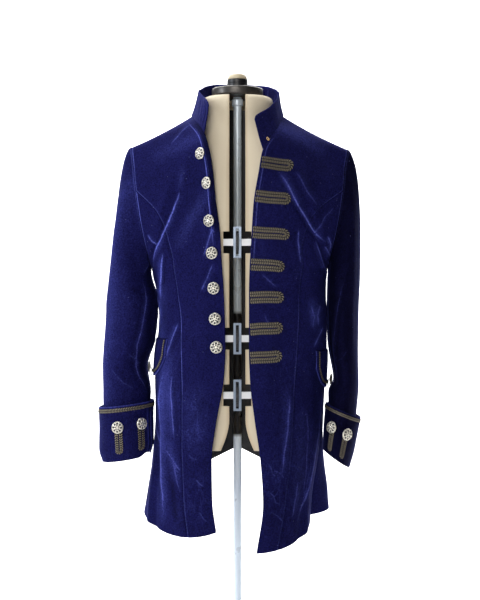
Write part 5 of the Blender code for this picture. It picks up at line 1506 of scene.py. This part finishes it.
def addFlap(side):
    s = flapSettings

    def place(ahead, below):
        point, normal = onSide(side, ahead + s["middle"], s["top"][side] - below)
        curl = 1.5 + s["stand"] * below / s["pointDrop"]
        return point + normal * curl[..., None], normal

    ahead, share = np.meshgrid(np.linspace(-s["width"] / 2, s["width"] / 2, 90), np.linspace(0, 1, 46))
    points, normals = place(ahead, share * flapDrop(ahead))
    points = points + normals * (1.0 + 0.7 * np.sin(np.pi * share))[..., None]
    # a painted highlight along the flap's lower edge and ends, and painted shade along its top
    edge = smoothStep(0.93, 1.0, share) + smoothStep(0.97, 1.0, np.abs(ahead) / (s["width"] / 2))
    clothWall(f"flap_{side}", points, normals,
              {"paintedSheen": np.clip(0.5 * edge, 0, 1), "paintedShade": smoothStep(0.04, 0.0, share)})

    reach = s["width"] / 2 - s["inset"]
    a = reach * np.sin(np.linspace(-np.pi / 2, np.pi / 2, 300))
    below = flapDrop(a) - s["inset"] - 12.0 * (a / reach) ** 8
    ends = np.linspace(2.0, below[0], 40)[:-1]
    line = np.vstack([np.stack([np.full(39, -reach), ends], -1), np.stack([a, below], -1),
                      np.stack([np.full(39, reach), ends[::-1]], -1)])
    walked = walkedAlong(line)
    even = np.linspace(0, walked[-1], 420)
    line = np.stack([np.interp(even, walked, line[:, k]) for k in (0, 1)], axis=-1)

    def onFlap(ahead, below):
        point, normal = place(ahead, below)
        bulge = 1.0 + 0.7 * np.sin(np.pi * np.clip(below / flapDrop(ahead), 0, 1))
        return point + normal * bulge[..., None], normal

    addBraid(f"flap_braid_{side}", even, s["braidWidth"], onFlap, 1.7, path=line)
    path, walked = doubledBack(0.0, s["loop"], **smallLoop)
    drop = s["pointDrop"] - s["rise"]
    path = np.stack([path[:, 1], path[:, 0] + drop], axis=-1)
    addBraid(f"flap_loop_{side}", walked, smallLoop["width"], onFlap, 3.5, path=path)
    point, normal = onFlap(np.array([0.0]), np.array([drop]))
    addButton(f"flap_button_{side}", point[0] + normal[0] * 5.4, normal[0])
    print("pocket flap:", side)


# the dress form and its stand

formTable = tableOf("z halfWidth front back pull", [
    (796, 152, -99, 108, 0.56), (860, 156, -102, 113, 0.56), (930, 157, -102, 109, 0.56),
    (1000, 152, -98, 97, 0.56), (1060, 148, -96, 90, 0.56), (1120, 152, -99, 93, 0.56),
    (1180, 160, -104, 101, 0.56), (1240, 167, -107, 108, 0.55), (1300, 175, -104, 110, 0.52),
    (1350, 184, -96, 106, 0.47), (1400, 187, -80, 92, 0.36), (1424, 182, -70, 84, 0.28),
    (1446, 148, -61, 76, 0.24), (1464, 115, -56, 69, 0.26), (1482, 87, -55, 62, 0.38),
    (1500, 77, -58, 58, 0.50), (1513, 75, -60, 57, 0.55), (1522.5, 69, -54, 52, 0.55),
    (1525, 52, -42, 40, 0.55)])
formSettings = dict(shell=4.0, slot=17.0, backSlot=8.0, flare=17.0, flareTop=856.0, notch=28.9,
                    notchHalf=22.0, adjusters=(1216.0, 1022.0, 908.0))


def formPoint(side, row, share):
    s = formSettings
    z, wide, front, back, pull = (along(formTable, name, row) for name in formTable)
    flare = s["flare"] * np.clip((s["flareTop"] - z) / 60, 0, 1) ** 1.6
    ahead = share <= 1
    near, depth = np.where(ahead, s["slot"] + flare, s["backSlot"]), np.where(ahead, front, back)
    out = sideSign[side]
    start = np.stack([out * near, depth, z], axis=-1)
    end = np.stack([out * wide, 0 * depth, z], axis=-1)
    leave, arrive = start.copy(), end.copy()
    leave[..., 0] += out * pull * (wide - near)
    arrive[..., 1] += pull * depth
    return cubic(start, leave, arrive, end, np.where(ahead, share, 2 - share))


def addForm(side):
    # the form's half: rows from its hem to the neck, with the slot's edge stepping out at each
    # adjuster; the row pairs at a notch's ends are 0.4 mm apart
    s = formSettings
    fineRows = np.linspace(0, 18, 2000)
    heights = along(formTable, "z", fineRows)
    z = list(np.linspace(796, 1480, 76)) + list(np.linspace(1486, 1525, 22))
    for middle in s["adjusters"]:
        z = [h for h in z if abs(abs(h - middle) - s["notchHalf"]) > 3]
        z += [middle + sign * (s["notchHalf"] + part) for sign in (-1, 1) for part in (-0.2, 0.2)]
    z = np.array(sorted(z))
    rows = np.interp(z, heights, fineRows)
    probe = np.linspace(0, 1, 200)
    starts = []
    for row, height in zip(rows, z):
        inNotch = any(abs(height - middle) < s["notchHalf"] for middle in s["adjusters"])
        x = np.abs(formPoint(side, np.full(200, row), probe)[:, 0])
        starts.append(np.interp(s["notch"], x, probe) if inNotch else 0.0)
    starts = np.array(starts)[:, None]
    u = np.linspace(0, 1, 64)[None, :]
    share = starts + (2 - starts) * u
    points = formPoint(side, np.repeat(rows[:, None], 64, axis=1), share)
    normals = slopeNormals(points) * sideSign[side]
    smooth = formPoint(side, np.repeat(rows[:, None], 64, axis=1), np.repeat(2 * u, len(z), axis=0))
    even = slopeNormals(smooth) * sideSign[side]
    normals = np.where((np.abs(np.gradient(starts[:, 0])) > 0)[:, None, None], even, normals)
    trim = 0.5 * np.exp(-((walkedAlong(points, 1) / 3.0) ** 2))
    inward = points - normals * s["shell"] / 2
    wallOf(f"form_{side}", inward, normals, s["shell"], jerseyMaterial, {"trim": trim}, soft=0.2)


def bevelledBox(low, high, cut):
    # a box with cut edges: the face that looks one way has the points farthest along that way
    low, high = np.array(low, float), np.array(high, float)
    signs = np.array(list(itertools.product((-1, 1), repeat=3)), float)
    spots = np.vstack([signs * ((high - low) / 2 - cut * (np.arange(3) != axis)) for axis in range(3)])
    faces = []
    for way in itertools.product((-1, 0, 1), repeat=3):
        if any(way):
            far = spots @ way
            chosen = np.flatnonzero(far > far.max() - 1e-6)
            across = spots[chosen] - spots[chosen].mean(axis=0)
            upright = np.cross(unit(np.array(way, float)), across[0])
            turn = np.arctan2(across @ upright, across @ across[0])
            faces.append(chosen[np.argsort(turn)].tolist())
    return spots + (low + high) / 2, faces


def joined(name, boxes, material, *replaced):
    spots, faces, base = [], [], 0
    for low, high in boxes:
        some, sides = bevelledBox(low, high, 0.6)
        spots.append(some)
        faces += [[k + base for k in face] for face in sides]
        base += len(some)
    piece = meshFrom(name, np.vstack(spots), faces)
    piece.data.set_sharp_from_angle(angle=math.radians(30))
    return keep(piece, material, *replaced)


def addAdjuster(number, height):
    # white arms behind a bright frame, and a black thumbwheel with grip ribs in the slot
    row = np.interp(height, formTable["z"], np.arange(len(formTable["z"])))
    face = float(along(formTable, "front", row))
    arm, bar, wide, tall, slot = 28.5, 7.0, 8.25, 31.5, 2.8
    front, back = face - 2, face + 4
    joined(f"adjuster_{number}", [((-arm, front + 1, height - bar), (-wide + 0.5, back, height + bar)),
                                  ((wide - 0.5, front + 1, height - bar), (arm, back, height + bar))],
           whiteMaterial, f"adjuster_{number}")
    frameBoxes = [((-wide, front, height - tall), (-slot, back, height + tall)),
                  ((slot, front, height - tall), (wide, back, height + tall)),
                  ((-slot - 0.4, front, height + tall - 4.5), (slot + 0.4, back, height + tall)),
                  ((-slot - 0.4, front, height - tall), (slot + 0.4, back, height - tall + 4.5))]
    rim = joined(f"adjuster_frame_{number}", frameBoxes, frameMaterial)
    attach(rim, "root")
    steps, middle, grip, teeth = 96, 23.0, 0.5, 24
    angle = np.linspace(0, 2 * np.pi, steps, endpoint=False)
    radius = middle + grip * np.sign(np.sin(angle * teeth))
    rings = []
    for x, share in ((-2.5, 0.92), (-2.0, 1.0), (2.0, 1.0), (2.5, 0.92)):
        rings.append(np.stack([np.full(steps, x), face + 13 + radius * share * np.cos(angle),
                               height + radius * share * np.sin(angle)], axis=-1))
    points = np.array(rings)
    faces = gridFaces(4, steps, ring=True)[:, ::-1].tolist()
    faces.append(list(range(steps)))
    faces.append(list(range(3 * steps, 4 * steps))[::-1])
    wheel = meshFrom(f"adjuster_wheel_{number}", points, faces)
    wheel.data.flip_normals()
    keep(wheel, blackMaterial, f"adjuster_wheel_{number}")


def addHook():
    # a gold wire eye sewn to the left end of the collar's seam
    s = dict(place=(61.5, -97.0, 1425.5), wide=1.7, tall=3.4, wire=0.6, lean=-0.5)
    turn, ring = (np.linspace(0, 2 * np.pi, steps, endpoint=False) for steps in (32, 10))
    out = np.stack([np.cos(turn), 0 * turn, np.sin(turn)], axis=-1)
    middle = out * [s["wide"], 1, s["tall"]]
    points = (middle[:, None] + s["wire"] * (out[:, None] * np.cos(ring)[None, :, None]
                                             + np.array([0, 1.0, 0]) * np.sin(ring)[None, :, None]))
    c, d = math.cos(s["lean"]), math.sin(s["lean"])
    points = points @ np.array([[c, 0, -d], [0, 1, 0], [d, 0, c]]) + s["place"]
    hook = meshFrom("collar_hook", points, gridFaces(32, 10, ring=True, stack=True).tolist())
    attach(keep(hook, goldMaterial), "root")


def addStand():
    turned("neck_cap", [(0, 1543.5, 0), (51, 1543.5, 1.5), (54, 1541, 1.5), (54, 1528.6, 1.5),
                        (51, 1525.6, 1.5), (0, 1525.6, 0)], 96, capMaterial, 46 / 54)
    turned("neck_ring", [(0, 1561.8, 0), (22, 1561.8, 1.5), (22, 1554, 0.6), (21.1, 1553.4, 0.4),
                         (22, 1552.8, 0.6), (22, 1543.8, 1.2), (0, 1543.8, 0)], 64, blackMaterial)
    turned("knob", [(0, 1575.5, 0), (11, 1574.9, 4), (18, 1571.5, 3), (21, 1565.9, 2), (21, 1562.1, 0.6),
                    (0, 1562.1, 0)], 64, ivoryMaterial)
    turned("pole", [(0, 1525.3, 0), (8.6, 1525.3, 0), (8.6, 1522, 0.5), (12, 1520, 1), (12, 1508, 1),
                    (8.6, 1506, 0.5), (8.6, 26.3, 0), (0, 26.3, 0)], 64, poleMaterial)
    turned("base", [(0, 26, 0), (22, 26, 1.5), (26, 18, 3), (201, 10, 4), (215, 5, 2.4), (215, 0, 0.8),
                    (0, 0, 0)], 128, baseMaterial)
    for number, height in enumerate(formSettings["adjusters"], 1):
        addAdjuster(number, height)
    inner = frame["nodes"]["form_inner"].data.materials
    inner.clear()
    inner.append(innerMaterial)
    print("form: halves, adjusters, neck cap, pole and base")


addCamera()
addStage()
for eachSide in sideSign:
    addBody(eachSide)
    addSleeve(eachSide)
    addCuff(eachSide)
    addFlap(eachSide)
    addForm(eachSide)
addCollar()
addFrontTrim()
addHook()
addStand()
